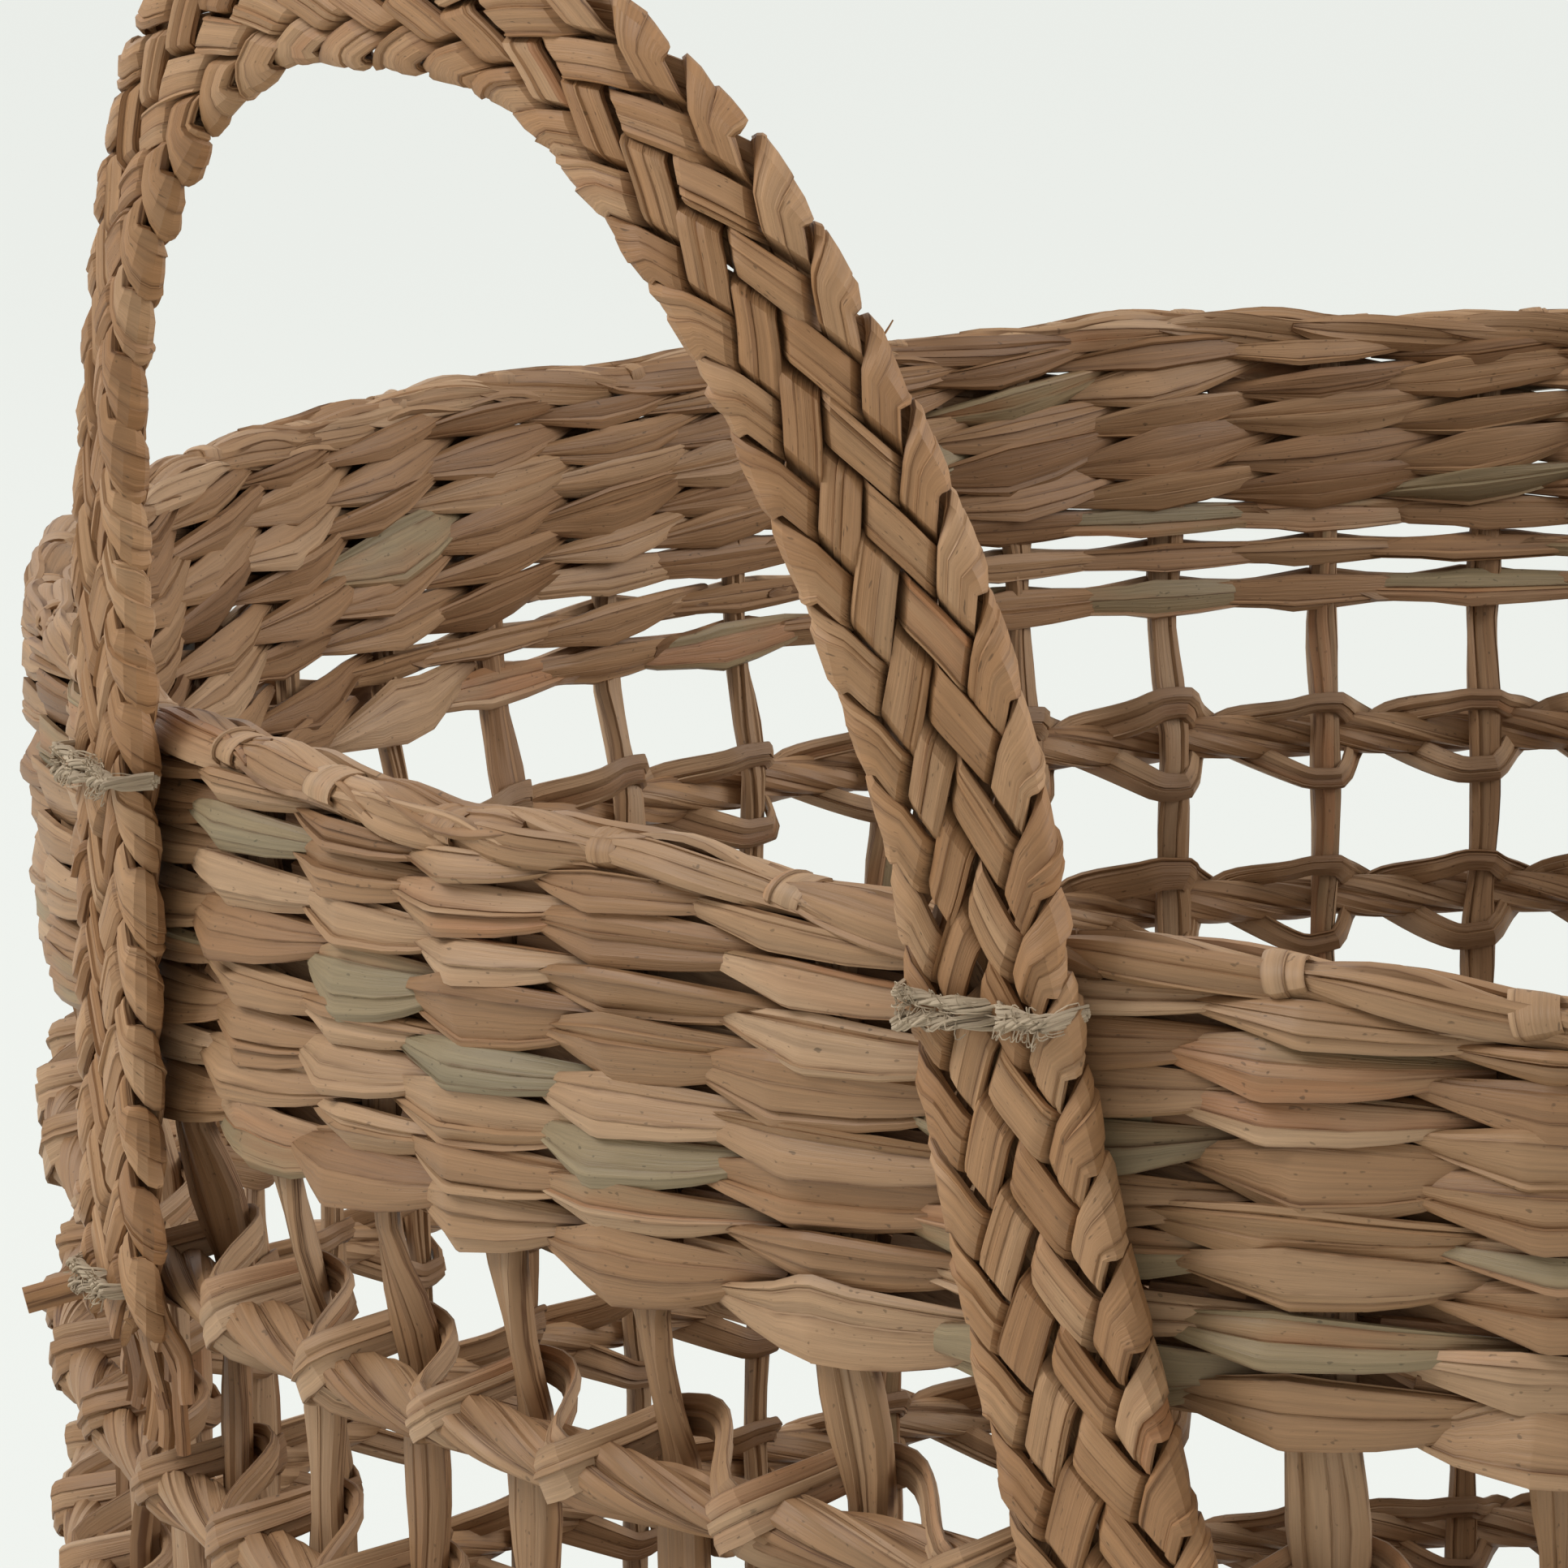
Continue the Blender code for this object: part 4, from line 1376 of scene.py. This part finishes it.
@dataclass
class WovenBase:
    """Flat base: a mat twined round and round from its centre, on both faces."""

    form: BasketForm
    finish: LeafFinish
    rows: int = 31
    stitch: float = 23.0 * MM
    seed: int = 80
    overhang: float = 3.0 * MM
    spoke_inset: float = 1.5 * MM
    spoke_widths: tuple = (1.0 * MM, 12.0 * MM)
    cut: LeafCut = LeafCut(leaves=2, thickness=1.0 * MM, relief=0.22 * MM, crown=0.25 * MM)

    def build(self) -> None:
        """Build the mat."""
        strips = StripMesh(self.seed)
        rng = strips.rng
        outer = float(self.form.wall_radius(0.0)) + self.overhang
        pitch = outer / self.rows
        thickness = self.form.base_thickness
        way = np.linspace(-1, 1, 8)
        for row in range(self.rows):
            radius = outer - (row + 0.5) * pitch
            count = max(5, round(math.tau * radius / self.stitch))
            for side in (-1, 1):
                centre = (np.arange(count) + row * 0.5)[:, None] / count * math.tau
                reach = min(0.74 * math.tau / count, 0.7)
                azimuth = centre + way * reach + rng.uniform(-0.05, 0.05, (count, 1)) * reach
                spread = radius + 0.9 * MM * side * way
                middle = thickness / 2 + side * (thickness / 2 - 0.9 * MM - 1.0 * MM * np.abs(way) ** 2)
                points = outward(azimuth) * spread[..., None]
                points[..., 2] = middle
                facing = np.broadcast_to(UP * side, points.shape)
                width = pitch / 2 * rng.uniform(0.9, 1.15, (count, 1)) * (1 - 0.7 * np.abs(way) ** 2.4)
                tone = np.clip(rng.normal(0.40, 0.13, count), *LEAF_TONES)
                # painted shade at the stitch ends, where they go under the neighbouring stitches
                tuck_shade = np.tile(0.6 * np.abs(way) ** 3, (count, 1))
                strips.add(points, facing, width, self.cut, tone, tuck_shade)
        self._spokes(strips, outer - self.spoke_inset)
        strips.build("leaf_base_mat", self.finish.make(), ["base_mat"], "base_leaf")

    def _spokes(self, strips: StripMesh, outer: float) -> None:
        """Add the spokes that the base is woven on.

        Args:
            strips: The mat's mesh.
            outer: Radius that the spokes reach.
        """
        count = self.form.stake_count // 2
        way = np.linspace(-1, 1, 14)
        azimuth = np.arange(count)[:, None] * math.pi / count
        spread = outer * way[None, :]
        points = outward(azimuth) * spread[..., None]
        points[..., 2] = self.form.base_thickness / 2
        width = np.broadcast_to(np.clip(np.abs(spread) * 0.056, *self.spoke_widths), (1, len(way)))
        # painted shade: the spokes are darkened, as they lie under the mat's weave
        strips.add(points, np.broadcast_to(UP, points.shape), width, self.cut, np.full(count, 0.3), 0.3)


@dataclass
class Studio:
    """Pale floor, soft light and the photograph's camera."""

    camera_azimuth: float = math.radians(218.14)
    camera_reach: float = 0.8837
    camera_height: float = 0.5669
    heading: float = math.radians(48.3)
    pitch: float = 0.202
    roll: float = -0.02
    lens: float = 158.55
    sensor: float = 36.0
    clip: tuple = (0.05, 100)
    floor_size: float = 40.0
    floor_drop: float = 0.2 * MM
    floor_glow: float = 0.88
    backdrop: tuple = (0.874, 0.902, 0.864)
    floor_colour: tuple = (0.80, 0.82, 0.79)
    daylight: tuple = (1.0, 0.965, 0.91)
    daylight_strength: float = 0.54
    aim: tuple = (0, 0, 0.3)
    lamps: tuple = (
        ("key_softbox", (-2.15, 1.2, 2.4), 1.2, 59.0),
        ("side_softbox", (0.4, 2.5, 1.5), 1.6, 9.0),
        ("fill_softbox", (1.7, -2.0, 1.7), 1.4, 51.0),
    )

    def build(self) -> None:
        """Set the floor, lamps, world and camera."""
        self._floor()
        self._world()
        for name, place, size, power in self.lamps:
            self._lamp(name, place, size, power)
        self._camera()
        bpy.context.scene.view_settings.view_transform = "Standard"

    def _camera(self) -> None:
        """Place the camera."""
        ahead = Vector((math.cos(self.heading), math.sin(self.heading), 0))
        forward = ahead * math.cos(self.pitch) - Vector(UP) * math.sin(self.pitch)
        level = Vector((math.sin(self.heading), -math.cos(self.heading), 0))
        down = forward.cross(level)
        right = level * math.cos(self.roll) + down * math.sin(self.roll)
        up = right.cross(forward)
        place = Vector((math.cos(self.camera_azimuth), math.sin(self.camera_azimuth), 0)) * self.camera_reach
        place.z = self.camera_height
        data = bpy.data.cameras.new("photograph_camera")
        data.sensor_fit = "HORIZONTAL"
        data.sensor_width = self.sensor
        data.lens = self.lens
        data.clip_start, data.clip_end = self.clip
        camera = bpy.data.objects.new("photograph_camera", data)
        bpy.context.scene.collection.objects.link(camera)
        turn = Matrix((right, up, -forward)).transposed().to_4x4()
        camera.matrix_world = Matrix.Translation(place) @ turn
        bpy.context.scene.camera = camera

    def _lamp(self, name: str, place: tuple[float, float, float], size: float, power: float) -> None:
        """Add one square softbox aimed at the basket.

        Args:
            name: Lamp name.
            place: Where it stands.
            size: Side of the square.
            power: Watts.
        """
        data = bpy.data.lights.new(name, "AREA")
        data.size = size
        data.energy = power
        lamp = bpy.data.objects.new(name, data)
        lamp.location = place
        aim = Vector(self.aim) - Vector(place)
        lamp.rotation_euler = aim.to_track_quat("-Z", "Y").to_euler()
        bpy.context.scene.collection.objects.link(lamp)

    def _world(self) -> None:
        """Even pale surroundings, which the camera sees as the backdrop."""
        world = bpy.data.worlds.new("studio")
        bpy.context.scene.world = world
        world.use_nodes = True
        tree = world.node_tree
        shown = tree.nodes["Background"]
        shown.inputs["Color"].default_value = (*self.backdrop, 1)
        shown.inputs["Strength"].default_value = 1.0
        light = {"Color": (*self.daylight, 1), "Strength": self.daylight_strength}
        lit = add_node(tree, "ShaderNodeBackground", light).outputs["Background"]
        seen = add_node(tree, "ShaderNodeLightPath").outputs["Is Camera Ray"]
        mix = add_node(tree, "ShaderNodeMixShader", {"Fac": seen, 1: lit, 2: shown.outputs["Background"]})
        tree.links.new(mix.outputs["Shader"], tree.nodes["World Output"].inputs["Surface"])

    def _floor(self) -> None:
        """Pale floor that keeps the basket's shadow."""
        half, low = self.floor_size / 2, -self.floor_drop
        mesh = bpy.data.meshes.new("studio_floor")
        corners = [(-half, -half, low), (half, -half, low), (half, half, low), (-half, half, low)]
        mesh.from_pydata(corners, [], [(0, 1, 2, 3)])
        floor = bpy.data.objects.new("studio_floor", mesh)
        bpy.context.scene.collection.objects.link(floor)
        material, tree, shader = new_material("studio_floor")
        shader.inputs["Base Color"].default_value = (*self.floor_colour, 1)
        shader.inputs["Roughness"].default_value = 1.0
        shader.inputs["Specular IOR Level"].default_value = 0.0
        glow = add_node(tree, "ShaderNodeEmission", {"Color": (*self.backdrop, 1)}).outputs["Emission"]
        seen = add_node(tree, "ShaderNodeLightPath").outputs["Is Camera Ray"]
        share = add_node(tree, "ShaderNodeMath", {0: seen, 1: self.floor_glow}, operation="MULTIPLY")
        shaders = {"Fac": share.outputs[0], 1: shader.outputs["BSDF"], 2: glow}
        mix = add_node(tree, "ShaderNodeMixShader", shaders)
        tree.links.new(mix.outputs["Shader"], tree.nodes["Material Output"].inputs["Surface"])
        mesh.materials.append(material)


def main() -> None:
    """Build the basket's pieces in order, then the studio."""
    logging.basicConfig(level=logging.INFO, format="%(message)s")
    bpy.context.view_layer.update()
    form = BasketForm()
    band_leaf = LeafFinish("band_leaf_finish")
    Stakes(form, LeafFinish("stake_leaf_finish")).build()
    band_foot = form.height - form.band_height
    TwinedWall(
        form, band_leaf, "upper_weave", "band_leaf", 30,
        foot=band_foot, head=form.height - 3.8 * MM, rows=8, loose_rows=3,
        row_shares=(0.62, 0.95, 0.95, 1.16, 0.88, 1.16, 0.95, 1.28),
    ).build()
    lower_head = form.ring_level(form.ring_count - 1) - form.ring_to_weave
    TwinedWall(
        form, LeafFinish("lower_leaf_finish"), "lower_weave", "lower_leaf", 31,
        foot=form.base_thickness + 3.6 * MM, head=lower_head, rows=29,
        places=(-1.0, -0.8, -0.55, -0.3, 0.0, 0.35, 0.7, 1.0),
        cut=LeafCut(leaves=2, thickness=1.3 * MM, relief=0.36 * MM, crown=0.30 * MM),
    ).build()
    RolledRim(form, LeafFinish("rim_leaf_finish")).build()
    RopeRings(form, LeafFinish("rope_leaf_finish")).build()
    braid = LeafFinish("braid_leaf_finish", tones=GOLDEN_TONES)
    for name, turn, seed in (("handle_a", math.pi, 200), ("handle_b", 0.0, 230)):
        BraidedHandle(form, braid, TwineFinish(), name, turn, seed).build()
    WovenBase(form, LeafFinish("base_leaf_finish")).build()
    Studio().build()


if __name__ == "__main__":
    main()
